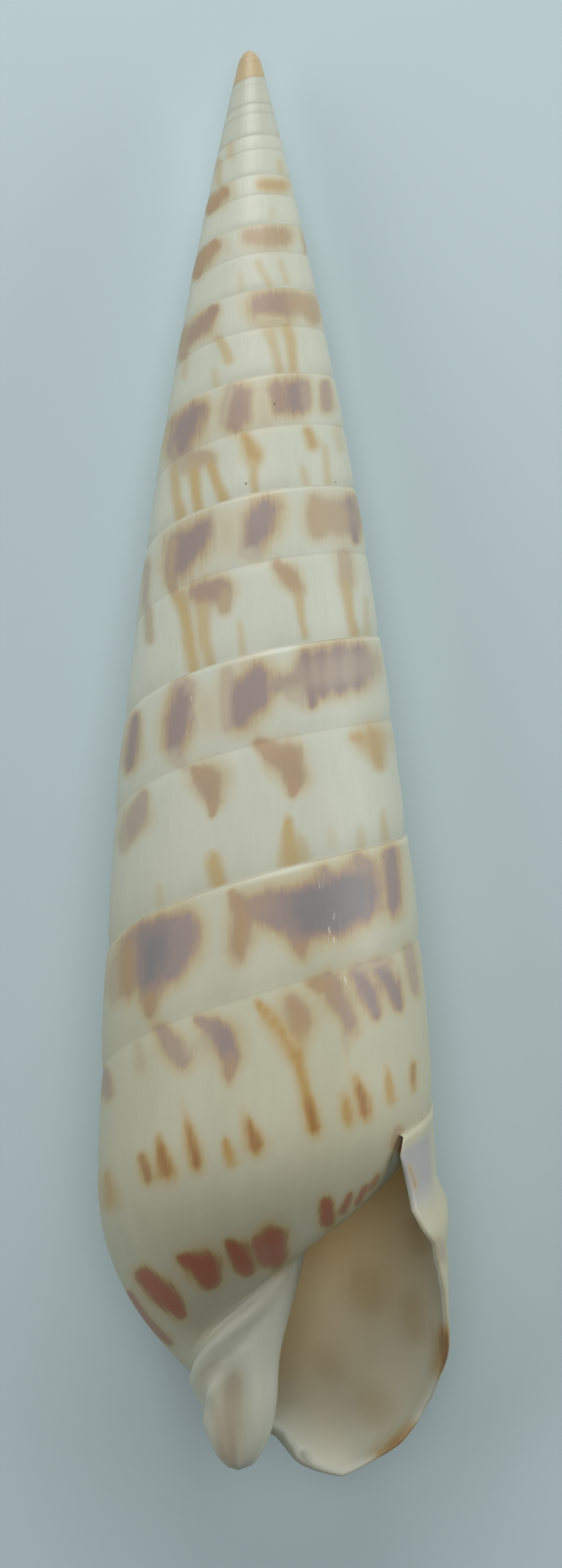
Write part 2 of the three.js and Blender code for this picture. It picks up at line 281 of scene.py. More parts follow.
@dataclass(frozen=True)
class Form:
    """The whole form of the shell."""

    spiral: Spiral = Spiral()
    lip: LipEdge = LipEdge()
    pillar: Pillar = Pillar()
    outline_length: float = 64.0
    point_radius: float = 0.45
    spire_gain: float = 8.05
    outline_curve: float = 1.85
    point_dome: float = 0.8
    bow: Hump = Hump(0.22, 55.0, 10.0)
    band_swell: float = 0.08
    groove_depth: float = 0.07
    groove_width: float = 0.035
    relief_start: Ease = Ease(2.5, 2.5)
    base_drop: float = 19.5
    base_starts_old: float = 11.5
    base_starts_new: float = 9.0
    base_curve: float = 3.1
    base_change_before: float = 0.1
    base_change_turns: float = 0.35
    base_reach: float = 0.6
    lip_reach: float = 2.7
    beside_notch: Ease = Ease(0.56, 0.12)
    top_flare: float = -0.01
    top: Ease = Ease(0.0, 1.0)
    lip_flare: float = 0.066
    shoulder: Ease = Ease(3.2, 1.6)
    flaring: Ease = Ease(0.25, 0.5)
    wall: float = 0.8
    thinning_turns: float = 0.2
    seam_wall: float = 0.12
    seam_wall_drop: float = 3.0
    corner_drop: float = 2.0
    corner_fade_turns: float = 0.25
    lining: Ease = Ease(0.0, 1.2)

    def last_form(self, turn: Array) -> Array:
        """How far the base has taken its last form, from 0 to 1."""
        start = self.spiral.mouth - self.base_change_before
        return smooth((turn - start) / self.base_change_turns)

    def reach(self, turn: Array) -> Array:
        """How much longer the base is than on the older whorls."""
        return self.base_reach * self.last_form(turn) + self.lip_reach * self.beside_notch.at(turn)

    def height_at(self, turn: Array, drop: Array) -> Array:
        """The height of a place on the growth surface."""
        return self.spiral.seam(turn) + drop + self.reach(turn) * smooth(drop / self.base_drop)

    def waist(self, turn: Array) -> Array:
        """The height at which the base meets the pillar."""
        return self.height_at(turn, self.base_drop * self.spiral.growth(turn))

    def spire_radius(self, height: Array) -> Array:
        """The radius of the plain spire.

        Args:
            height: The height from the point.

        Returns:
            The radius.
        """
        left = np.maximum(0.0, 1 - height / self.outline_length)
        radius = self.point_radius + self.spire_gain * (1 - left**self.outline_curve)
        down = np.clip(height / self.point_dome, 0.0, 1.0)
        return radius * np.sqrt(1 - (1 - down) ** 2)

    def relief(self, turn: Array, share: Array, height: Array) -> Array:
        """What the swollen band and the groove add to the radius.

        Args:
            turn: The turn.
            share: The share of the way down the whorl.
            height: The height from the point.

        Returns:
            Millimetres to add.
        """
        groove = self.spiral.groove_share(turn)
        swell = np.where(share < groove, np.sin(np.pi * share / groove), 0.0)
        cut = np.exp(-(((share - groove) / self.groove_width) ** 2))
        strength = self.spiral.growth(turn) * self.relief_start.at(height)
        return strength * (self.band_swell * swell - self.groove_depth * cut)

    def pillar_radius(self, turn: Array, height: Array) -> Array:
        """The pillar's radius round its own leaning middle.

        Args:
            turn: The turn.
            height: The height from the point.

        Returns:
            The radius.
        """
        rod = self.pillar
        down = np.maximum(0.0, (height - (rod.end - rod.rounding)) / rod.rounding)
        end = np.sqrt(np.maximum(0.0, 1 - down**2))
        ridge = rod.banding(turn, height - self.waist(turn))
        started = smooth((turn - self.spiral.mouth) / rod.ridge_fade)
        fade = started * rod.ridge_ending.at(turn)
        slim = rod.radius * (1 - rod.taper * rod.tapering.at(height))
        plain = np.minimum(slim, rod.share * self.spire_radius(height))
        return (plain + ridge * fade + rod.carving(turn, height)) * end

    def around(self, turn: Array, height: Array, radius: Array, lean: Array) -> Array:
        """Places in the shell's own frame.

        Args:
            turn: The turn.
            height: The height from the point.
            radius: The radius round the axis.
            lean: How far the middle stands to the left of the axis.

        Returns:
            An array whose last side is x, y, z.
        """
        angle = 2 * np.pi * turn
        x = self.bow.at(height) - lean - radius * np.sin(angle)
        z = radius * np.cos(angle)
        return np.stack(np.broadcast_arrays(x, -height, z), axis=-1)

    def on_pillar(self, turn: Array, height: Array) -> Array:
        """A place on the pillar's side."""
        return self.around(turn, height, self.pillar_radius(turn, height), self.pillar.shift(height))

    def on_whorl(self, turn: Array, drop: Array) -> Array:
        """A place on the growth surface: the outside, the base and the wall under the next whorl.

        Args:
            turn: The turn.
            drop: The drop below the seam.

        Returns:
            The places.
        """
        turn, drop = np.broadcast_arrays(np.asarray(turn, float), np.asarray(drop, float))
        height = self.height_at(turn, drop)
        size = self.spiral.growth(turn)
        start = mix(self.base_starts_old, self.base_starts_new, self.last_form(turn)) * size
        down = np.clip((drop - start) / (self.base_drop * size - start), 0.0, 1.0)
        flare = mix(self.top_flare * self.top.at(drop), self.lip_flare, self.shoulder.at(drop))
        widening = 1 + flare * self.flaring.at(turn)
        relief = self.relief(turn, drop / self.spiral.whorl(turn), height)
        outer = self.around(turn, height, self.spire_radius(height) * widening + relief, 0.0)
        inner = self.on_pillar(turn, height)
        return mix(outer, inner, (down**self.base_curve)[..., None])

    def on_seam(self, turn: Array) -> Array:
        """The seam, taken from the whorl before it, so that the two whorls share it exactly.

        Args:
            turn: The turn.

        Returns:
            Places on the seam.
        """
        turn = np.asarray(turn, float)
        before = self.on_whorl(turn - 1, self.spiral.whorl(turn - 1))
        point = self.around(turn, 0.0 * turn, 0.0 * turn, 0.0)
        return np.where((turn < self.spiral.first)[..., None], point, before)

    def lean_back(self, turn: Array, drop: Array) -> Array:
        """Squeezes the columns of the last turn so that the last one lies along the lip's edge.

        Args:
            turn: The turn of the column.
            drop: The drop below the seam.

        Returns:
            The turn that the place has in the net.
        """
        mouth = self.spiral.mouth
        squeezed = mouth + (turn - mouth) * (self.lip.turn(drop) - mouth)
        return np.where(turn <= mouth, turn, squeezed)

    def thickness(self, back: Array, drop: Array) -> Array:
        """The wall's thickness at a drop, some turns back from the lip."""
        return mix(self.lip.thickness(drop), self.wall, smooth(back / self.thinning_turns))

    def inside_of(self, turn: Array, drop: Array) -> Array:
        """The outer wall of the tube: the outside moved inwards by the wall's thickness.

        Args:
            turn: The turn.
            drop: The drop below the seam.

        Returns:
            Places on the inside.
        """
        along = self.on_whorl(turn + STEP, drop) - self.on_whorl(turn - STEP, drop)
        down = self.on_whorl(turn, drop + STEP) - self.on_whorl(turn, drop - STEP)
        inwards = np.cross(along, down)
        inwards /= np.maximum(np.linalg.norm(inwards, axis=-1, keepdims=True), TINY)
        size = self.spiral.growth(turn)
        full = self.thickness(self.lip.turn(drop) - turn, drop) * size
        depth = full * smooth(self.seam_wall + drop / (self.seam_wall_drop * size))
        return self.on_whorl(turn, drop) - inwards * depth[..., None]

    def foot_height(self, turn: Array) -> Array:
        """The height at which the tube's outer wall meets the pillar."""
        full = self.thickness(self.lip.foot - turn, self.base_drop)
        return self.waist(turn) - full * self.spiral.growth(turn)

    def corner(self, turn: Array) -> Array:
        """How far below the seam the tube's upper corner lies. It runs out into the seam at the lip."""
        fade = smooth((self.spiral.last - turn) / self.corner_fade_turns)
        return self.corner_drop * self.spiral.growth(turn) * fade


@dataclass(frozen=True)
class Resting:
    """How the shell's own frame is turned and set down in the room."""

    pitch: float = math.radians(4.5)
    flat: float = 0.3

    def turned(self, places: Array) -> Array:
        """Turns places about x, so that the point dips.

        Args:
            places: Places or directions in the shell's own frame.

        Returns:
            The same, turned.
        """
        c, s = math.cos(self.pitch), math.sin(self.pitch)
        x, y, z = places[..., 0], places[..., 1], places[..., 2]
        return np.stack([x, y * c + z * s, z * c - y * s], axis=-1)

    def offset(self, places: Array) -> Array:
        """The move that puts the turned shell where the part's solid lies.

        Args:
            places: All of the shell's turned places, in millimetres.

        Returns:
            The move, in millimetres.
        """
        low, high = (np.array(corner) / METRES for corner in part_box(NODE))
        across = (low[0] + high[0] - places[:, 0].min() - places[:, 0].max()) / 2
        along = high[1] - places[:, 1].max()
        return np.array([across, along, -self.flat - places[:, 2].min()])


@dataclass(frozen=True)
class Picture:
    """The picture's frame and the camera's place, seen from the shell's own frame."""

    width: int = 924
    height: int = 2576
    focal: float = 3600.0
    tilt: float = math.radians(9.6)
    swing: float = math.radians(0.8)
    tip_across: float = 410.5
    tip_down: float = 84.0
    middle_height: float = 1200.0
    length: float = 75.0
    length_seen: float = 2376.15
    sensor: float = 36.0
    nearest: float = 0.005
    farthest: float = 20.0

    @property
    def millimetres(self) -> float:
        """The millimetres to a pixel at the shell."""
        return self.length / self.length_seen

    def axes(self) -> Array:
        """The camera's right, up and back directions, as rows in the shell's own frame.

        Returns:
            Three rows.
        """
        ct, st = math.cos(self.tilt), math.sin(self.tilt)
        cs, ss = math.cos(self.swing), math.sin(self.swing)
        down_axis = np.array([ss * ct, -cs * ct, st])
        right = np.array([cs, ss, 0.0])
        up = np.array([-ss * st, cs * st, ct])
        return np.stack([right, -down_axis, up], axis=1)

    def tip(self) -> Array:
        """The shell's point in the camera's frame, in picture units, with the camera at (0, 0, focal).

        Returns:
            The point.
        """
        back = -self.middle_height * math.sin(self.tilt)
        scale = self.focal / (self.focal - back)
        right = (self.tip_across - self.width / 2) / scale
        up = (self.height / 2 - self.tip_down) / scale
        return np.array([right, up, back])

    def seen(self, places: Array) -> tuple[Array, Array]:
        """Where places appear in the picture.

        Args:
            places: Places in the shell's own frame, in millimetres.

        Returns:
            How far across and how far down the picture they appear.
        """
        moved = self.tip() + places @ self.axes().T / self.millimetres
        scale = self.focal / (self.focal - moved[..., 2])
        return self.width / 2 + moved[..., 0] * scale, self.height / 2 - moved[..., 1] * scale

    def camera(self, resting: Resting, offset: Array) -> None:
        """Makes the camera and gives it to the scene.

        Args:
            resting: How the shell is turned.
            offset: How the shell is moved, in millimetres.
        """
        axes = self.axes()
        from_eye = self.tip() - np.array([0.0, 0.0, self.focal])
        eye = -(axes.T @ from_eye) * self.millimetres
        place = (resting.turned(eye) + offset) * METRES
        right, up, back = (resting.turned(axis) for axis in axes)
        data = bpy.data.cameras.new("camera")
        data.sensor_fit = "VERTICAL"
        data.sensor_height = self.sensor
        data.lens = self.sensor * self.focal / self.height
        data.clip_start = self.nearest
        data.clip_end = self.farthest
        camera = bpy.data.objects.new("camera", data)
        bpy.context.scene.collection.objects.link(camera)
        turn = Matrix([[*row] for row in np.stack([right, up, back], axis=1)])
        camera.matrix_world = Matrix.Translation(Vector(place)) @ turn.to_4x4()
        bpy.context.scene.camera = camera


class Tint(Enum):
    """The colours that a mark can have in its middle."""

    BRICK = -1.0
    RUST = -0.36
    SAND = -0.15
    GOLD = 0.0
    TAN = 0.33
    MAUVE = 0.55
    PLUM = 0.78
    SLATE = 1.0


@dataclass(frozen=True)
class Stroke:
    """One soft stroke of colour, drawn as the picture shows it. Most are pigment; a few are painted shade
    or painted highlight.

    A stroke runs through points given as how far across, how far down and how wide to each side.
    """

    tint: Tint
    points: tuple[tuple[float, float, float], ...]
    strength: float
    swell: float = 1.12
    softness: float = 0.62
    least_soft: float = 4.0
    most_soft: float = 14.0

    def depth(self, across: Array, down: Array) -> Array:
        """How deep places lie within the stroke, in units of its soft edge.

        Args:
            across: How far across the places are.
            down: How far down the places are.

        Returns:
            More than 0 inside the stroke and less than 0 outside it.
        """
        best = np.full(across.shape, FAR_OUT)
        for (x0, y0, r0), (x1, y1, r1) in zip(self.points, self.points[1:]):
            dx, dy = x1 - x0, y1 - y0
            share = ((across - x0) * dx + (down - y0) * dy) / (dx * dx + dy * dy)
            share = np.clip(share, 0.0, 1.0)
            radius = self.swell * (r0 + (r1 - r0) * share)
            distance = np.hypot(across - x0 - dx * share, down - y0 - dy * share)
            soft = np.clip(self.softness * radius, self.least_soft, self.most_soft)
            best = np.maximum(best, (radius - distance) / soft)
        return best


@dataclass(frozen=True)
class Markings:
    """The shell's markings, whorl by whorl, with a few strokes of painted shade among them and the painted
    highlights of fine scratches. Whorl 0 is the one whose seam crosses the picture lowest.
    """

    strokes: dict[int, tuple[Stroke, ...]]
    inner: tuple[Stroke, ...]
    # glints: painted highlights, white streaks where fine scratches catch the light
    glints: tuple[Stroke, ...]
    blend: float = 0.5
    seen: float = math.radians(92)
    fade: float = math.radians(9)
    lining_depth: float = 0.4
    # how far round towards the front the painted highlights show
    glints_face: float = 0.3

    def layer(self, strokes: tuple[Stroke, ...], across: Array, down: Array) -> tuple[Array, ...]:
        """Lays strokes over each other, so that one runs softly into the next.

        Args:
            strokes: The strokes.
            across: How far across the places are.
            down: How far down the places are.

        Returns:
            The depth within the strokes, their tint and their strength.
        """
        weight = np.full(across.shape, TINY)
        tint = np.zeros(across.shape)
        strength = np.zeros(across.shape)
        for stroke in strokes:
            inside = stroke.depth(across, down)
            share = np.exp(np.clip(inside, FAR_OUT, DEEP) / self.blend)
            weight += share
            tint += share * stroke.tint.value
            strength += share * stroke.strength
        depth = self.blend * np.log(weight)
        return np.clip(depth, OUT, DEEP), tint / weight, strength / weight


def strokes(*rows: tuple[Tint | float, ...]) -> tuple[Stroke, ...]:
    """Reads strokes off rows.

    Args:
        rows: A tint, a strength, and for each point how far across, how far down and how wide.

    Returns:
        The strokes.
    """
    return tuple(
        Stroke(tint, tuple(zip(points[::3], points[1::3], points[2::3])), strength)
        for tint, strength, *points in rows
    )


G, R, S, T, M, P, B, K = (
    Tint.GOLD, Tint.RUST, Tint.SAND, Tint.TAN, Tint.MAUVE, Tint.PLUM, Tint.SLATE, Tint.BRICK,
)

WHORL_STROKES: dict[int, tuple[Stroke, ...]] = {
    -7: strokes(
        (G, 0.5, 378, 236, 5, 379, 256, 4), (G, 0.7, 360, 265, 2.5, 359, 300, 3),
        (G, 0.6, 459, 266, 2, 462, 284, 2),
    ),
    -6: strokes(
        (T, 1, 370, 314, 8, 354, 330, 11, 344, 345, 7), (S, 0.75, 430, 303, 8, 465, 305, 9),
        (G, 0.35, 380, 300, 4, 384, 318, 5), (G, 0.3, 448, 345, 2, 448, 356, 2),
    ),
    -5: strokes(
        (T, 1, 354, 402, 9, 334, 424, 12, 322, 450, 8), (T, 0.85, 412, 388, 12, 440, 388, 15, 466, 388, 14),
        (G, 0.3, 372, 395, 5, 374, 412, 5), (P, 0.8, 496, 380, 1.5, 503, 414, 2),
        (G, 0.55, 424, 432, 3, 442, 466, 3.5), (G, 0.45, 461, 430, 2, 471, 462, 3),
        (G, 0.35, 395, 452, 2, 397, 474, 3),
    ),
    -4: strokes(
        (M, 1, 352, 508, 8, 332, 534, 15, 308, 558, 10), (T, 0.85, 306, 540, 6, 300, 585, 8),
        (M, 1, 432, 503, 21, 458, 501, 23), (T, 0.85, 484, 496, 14, 508, 502, 17, 516, 520, 11),
        (P, 1, 446, 501, 9, 454, 501, 9), (S, 0.5, 428, 524, 8, 462, 526, 8),
        (G, 0.75, 358, 556, 5, 368, 570, 5, 376, 590, 6), (G, 0.65, 443, 545, 7, 452, 575, 5, 460, 610, 5),
        (G, 0.85, 470, 535, 6, 478, 560, 6, 483, 612, 5), (G, 0.45, 352, 612, 4, 358, 640, 4),
        (G, 0.5, 303, 600, 4, 302, 618, 4),
    ),
    -3: strokes(
        (P, 1, 326, 674, 16, 306, 702, 26, 292, 735, 18), (T, 0.7, 285, 730, 9, 290, 758, 8),
        (M, 1, 398, 652, 19, 390, 676, 22, 384, 694, 15), (P, 1, 394, 660, 9, 392, 672, 9),
        (T, 0.55, 378, 640, 7, 368, 690, 7), (S, 0.35, 430, 660, 16, 436, 690, 12),
        (M, 1, 454, 642, 15, 458, 668, 14), (P, 1, 482, 640, 17, 486, 666, 15),
        (M, 0.8, 500, 634, 10, 502, 664, 9), (M, 0.85, 535, 632, 8, 538, 668, 10),
        (T, 0.75, 318, 752, 13, 345, 752, 9), (T, 0.6, 300, 770, 8, 312, 765, 9),
        (G, 0.85, 286, 770, 6, 290, 815, 6, 298, 850, 7), (G, 1, 318, 768, 8, 322, 808, 6, 327, 838, 6),
        (G, 1, 346, 762, 6, 358, 796, 6, 368, 822, 7), (S, 0.9, 402, 716, 7, 416, 746, 12, 420, 752, 9),
        (G, 0.85, 417, 758, 6, 417, 790, 5, 422, 814, 4), (S, 0.8, 506, 708, 6, 515, 730, 8),
        (G, 0.6, 534, 735, 3, 540, 797, 3.5), (G, 0.55, 497, 768, 3, 506, 804, 5),
        (G, 0.4, 553, 705, 6, 560, 738, 4),
    ),
    -2: strokes(
        (P, 1, 336, 868, 19, 314, 892, 29, 292, 930, 20), (T, 0.85, 284, 890, 12, 280, 955, 9, 287, 975, 5),
        (P, 1, 438, 836, 22, 426, 860, 28, 416, 886, 20), (S, 0.35, 372, 865, 22, 376, 890, 16),
        (T, 0.4, 398, 905, 8, 420, 912, 9), (T, 0.8, 518, 822, 9, 522, 872, 12),
        (T, 0.8, 532, 846, 24, 562, 850, 27), (P, 0.95, 575, 825, 12, 580, 862, 12, 585, 888, 6),
        (M, 0.6, 243, 925, 5, 238, 990, 5), (M, 1, 328, 974, 17, 362, 966, 16),
        (T, 0.8, 368, 972, 11, 370, 1000, 8), (G, 1, 294, 980, 8, 306, 1020, 7, 318, 1098, 8),
        (G, 0.85, 332, 992, 8, 336, 1050, 7, 346, 1092, 7),
        (T, 0.9, 455, 928, 8, 474, 946, 14, 490, 968, 9),
        (G, 0.8, 490, 970, 7, 496, 1020, 4, 502, 1046, 4.5), (T, 0.7, 566, 915, 11, 571, 955, 10),
        (G, 0.9, 568, 955, 7, 577, 1020, 5, 584, 1042, 7), (G, 0.55, 394, 1022, 2.5, 400, 1074, 4),
        (G, 0.5, 601, 985, 2, 604, 1040, 4), (T, 0.65, 243, 1002, 6, 246, 1052, 6),
    ),
    -1: strokes(
        (P, 0.95, 224, 1178, 8, 216, 1240, 13, 212, 1262, 9),
        (P, 1, 302, 1138, 16, 294, 1185, 23, 288, 1220, 17), (T, 0.6, 298, 1120, 12, 318, 1132, 7),
        (T, 0.45, 288, 1245, 10, 306, 1262, 6), (P, 1, 424, 1112, 24, 410, 1142, 35, 396, 1174, 24),
        (T, 0.6, 372, 1105, 9, 372, 1185, 10), (S, 0.35, 338, 1160, 20, 345, 1185, 16),
        (M, 0.85, 452, 1122, 13, 490, 1122, 14), (P, 1, 503, 1076, 11, 508, 1110, 13, 514, 1160, 7),
        (P, 1, 528, 1074, 13, 530, 1136, 13), (P, 1, 556, 1070, 14, 560, 1130, 12),
        (P, 1, 588, 1068, 13, 590, 1126, 12), (M, 0.75, 512, 1110, 28, 592, 1094, 30),
        (T, 0.5, 478, 1140, 10, 500, 1150, 10), (M, 0.75, 236, 1306, 8, 224, 1340, 18, 212, 1375, 10),
        (T, 0.55, 205, 1372, 9, 203, 1398, 6),
        (T, 0.95, 318, 1264, 6, 345, 1282, 22, 352, 1312, 13, 349, 1338, 6),
        (M, 1, 343, 1285, 15, 350, 1312, 9),
        (T, 0.95, 425, 1222, 9, 470, 1246, 22, 486, 1278, 17, 481, 1304, 7),
        (M, 1, 470, 1250, 16, 486, 1275, 12), (S, 0.8, 585, 1212, 9, 612, 1214, 22, 624, 1254, 10),
        (G, 1, 350, 1412, 9, 358, 1448, 10), (G, 1, 474, 1345, 5, 474, 1368, 8, 480, 1408, 15),
        (G, 0.6, 492, 1380, 7, 500, 1406, 7), (G, 0.4, 261, 1456, 4, 264, 1484, 6),
        (G, 0.5, 592, 1362, 4, 595, 1396, 6), (G, 0.6, 629, 1335, 3, 634, 1380, 5),
        (G, 0.25, 543, 1360, 4, 546, 1385, 6),
    ),
    0: strokes(
        (B, 1, 256, 1552, 33, 247, 1600, 27), (P, 1, 306, 1520, 22, 300, 1558, 26, 280, 1592, 22),
        (P, 1, 238, 1530, 20, 300, 1518, 20), (T, 1, 214, 1556, 17, 208, 1618, 20),
        (T, 1, 246, 1632, 16, 246, 1664, 9), (T, 0.5, 190, 1590, 8, 184, 1640, 8),
        (T, 1, 382, 1468, 6, 400, 1494, 15, 395, 1544, 17, 389, 1570, 13),
        (M, 1, 410, 1490, 20, 440, 1492, 27), (P, 1, 450, 1496, 30, 474, 1494, 32),
        (B, 1, 502, 1500, 44, 546, 1488, 50, 582, 1472, 44), (T, 1, 490, 1538, 18, 497, 1566, 11),
        (M, 0.9, 532, 1434, 12, 540, 1448, 14), (M, 0.9, 590, 1414, 13, 600, 1424, 15),
        (P, 1, 603, 1438, 16, 606, 1500, 14), (P, 1, 643, 1402, 14, 648, 1496, 13),
        (M, 0.7, 672, 1562, 10, 683, 1632, 6), (T, 0.35, 226, 1716, 6, 233, 1758, 9),
        (M, 0.9, 266, 1692, 12, 284, 1716, 18, 300, 1742, 16), (T, 0.4, 310, 1728, 9, 345, 1718, 9),
        (M, 1, 326, 1676, 8, 350, 1690, 14), (P, 1, 348, 1684, 13, 368, 1708, 24, 379, 1733, 16),
        (T, 1, 380, 1740, 13, 375, 1774, 8),
        (S, 1, 424, 1648, 6, 446, 1672, 12, 472, 1704, 15, 484, 1734, 11),
        (T, 1, 478, 1646, 14, 490, 1672, 20, 484, 1706, 14),
        (S, 1, 484, 1712, 12, 492, 1752, 8, 500, 1786, 8, 508, 1818, 9),
        (R, 1, 506, 1808, 8, 513, 1836, 10, 517, 1856, 11),
        (T, 1, 514, 1616, 10, 546, 1618, 16, 552, 1640, 13),
        (M, 0.95, 546, 1616, 14, 562, 1655, 15, 580, 1692, 10), (T, 0.35, 566, 1700, 5, 570, 1725, 4),
        (P, 1, 588, 1600, 13, 606, 1632, 15, 618, 1668, 9),
        (P, 1, 622, 1588, 12, 643, 1614, 14, 657, 1660, 7), (T, 0.6, 590, 1592, 9, 640, 1580, 8),
        (M, 0.8, 172, 1762, 7, 177, 1798, 9), (S, 0.75, 176, 1930, 9, 182, 1972, 14),
        (R, 0.85, 234, 1902, 8, 244, 1938, 10), (R, 1, 262, 1872, 6, 272, 1924, 16),
        (G, 0.35, 298, 1812, 3, 306, 1848, 4), (R, 1, 306, 1835, 5, 316, 1884, 12, 323, 1916, 11),
        (S, 1, 370, 1872, 6, 379, 1905, 10), (G, 0.4, 398, 1818, 3, 406, 1850, 5),
        (R, 1, 408, 1842, 8, 420, 1880, 15), (S, 1, 566, 1804, 7, 574, 1842, 9),
        (G, 0.5, 574, 1758, 3, 588, 1782, 4), (R, 1, 586, 1774, 7, 598, 1810, 12, 601, 1832, 10),
        (S, 1, 636, 1756, 4, 643, 1806, 8), (R, 0.8, 680, 1742, 5, 679, 1788, 6),
        (K, 1, 448, 2036, 21, 450, 2062, 21), (K, 0.85, 424, 2044, 11, 438, 2058, 17),
        (K, 1, 376, 2042, 9, 394, 2064, 20, 408, 2090, 15),
        (K, 1, 300, 2068, 11, 334, 2082, 26, 346, 2106, 19),
        (K, 1, 236, 2096, 13, 268, 2124, 20, 302, 2158, 14),
        # The faint plum stroke at the end of the next line is painted shade, where the base turns down and
        # away from the light above the pillar's band.
        (K, 0.8, 212, 2126, 6, 240, 2172, 9, 276, 2205, 8), (P, 0.14, 330, 2160, 30, 420, 2116, 26),
        # The two tan strokes on the next line are partly the pillar's own brown and partly painted shade in
        # its front valley and in the furrow under its band.
        (T, 0.5, 385, 2270, 12, 376, 2330, 19, 374, 2390, 15), (T, 0.22, 352, 2250, 10, 340, 2262, 10),
        (K, 1, 536, 1978, 11, 538, 2004, 12), (K, 0.85, 576, 1962, 5, 564, 1990, 6),
        (K, 0.8, 600, 1950, 5, 588, 1976, 5), (K, 0.7, 622, 1930, 4, 610, 1952, 5),
        (T, 0.8, 656, 1858, 8, 650, 1880, 8),
    ),
    1: strokes(
        (K, 0.9, 672, 1912, 2, 684, 1952, 2.5), (R, 1, 732, 2190, 12, 732, 2250, 14),
        (R, 1, 630, 2396, 14, 658, 2378, 17, 682, 2350, 12), (M, 0.4, 722, 2040, 6, 730, 2070, 6),
    ),
}

# Painted highlights: white streaks where fine scratches on the gloss catch the light near the lip, and a
# faint painted sheen down the left flank
GLINT_STROKES = strokes(
    (G, 1, 528, 1452, 16, 540, 1520, 20, 556, 1550, 16), (G, 1, 560, 1590, 10, 570, 1622, 8),
    (G, 0.5, 318, 1140, 8, 304, 1240, 10),
)

INNER_STROKES = strokes(
    (S, 0.35, 600, 2110, 26, 604, 2132, 24), (S, 0.4, 676, 2140, 16, 680, 2185, 18),
    (S, 0.35, 612, 2300, 20, 620, 2312, 20), (S, 0.25, 540, 2240, 20, 550, 2252, 18),
    (S, 0.3, 684, 2020, 16, 690, 2050, 12), (R, 1, 732, 2190, 12, 732, 2250, 14),
    (R, 1, 630, 2396, 14, 658, 2378, 17, 682, 2350, 12), (R, 1, 652, 1852, 6, 661, 1890, 8),
    (K, 1, 676, 1924, 2.5, 690, 1956, 3, 699, 1996, 2), (R, 0.7, 722, 2060, 2, 727, 2085, 2.5),
)


@dataclass(frozen=True)
class Blot:
    """One blot of pigment on the side that the picture doesn't show.

    Its place is a turn and a drop, and its half sizes are in millimetres.
    """

    tint: Tint
    turn: float
    drop: float
    wide: float
    tall: float
    lean: float
    strength: float


@dataclass(frozen=True)
class BlotKind:
    """A kind of blot: the colours that it may have, and its half sizes on a full-grown whorl."""

    tints: tuple[Tint, ...]
    wide: float
    tall: float


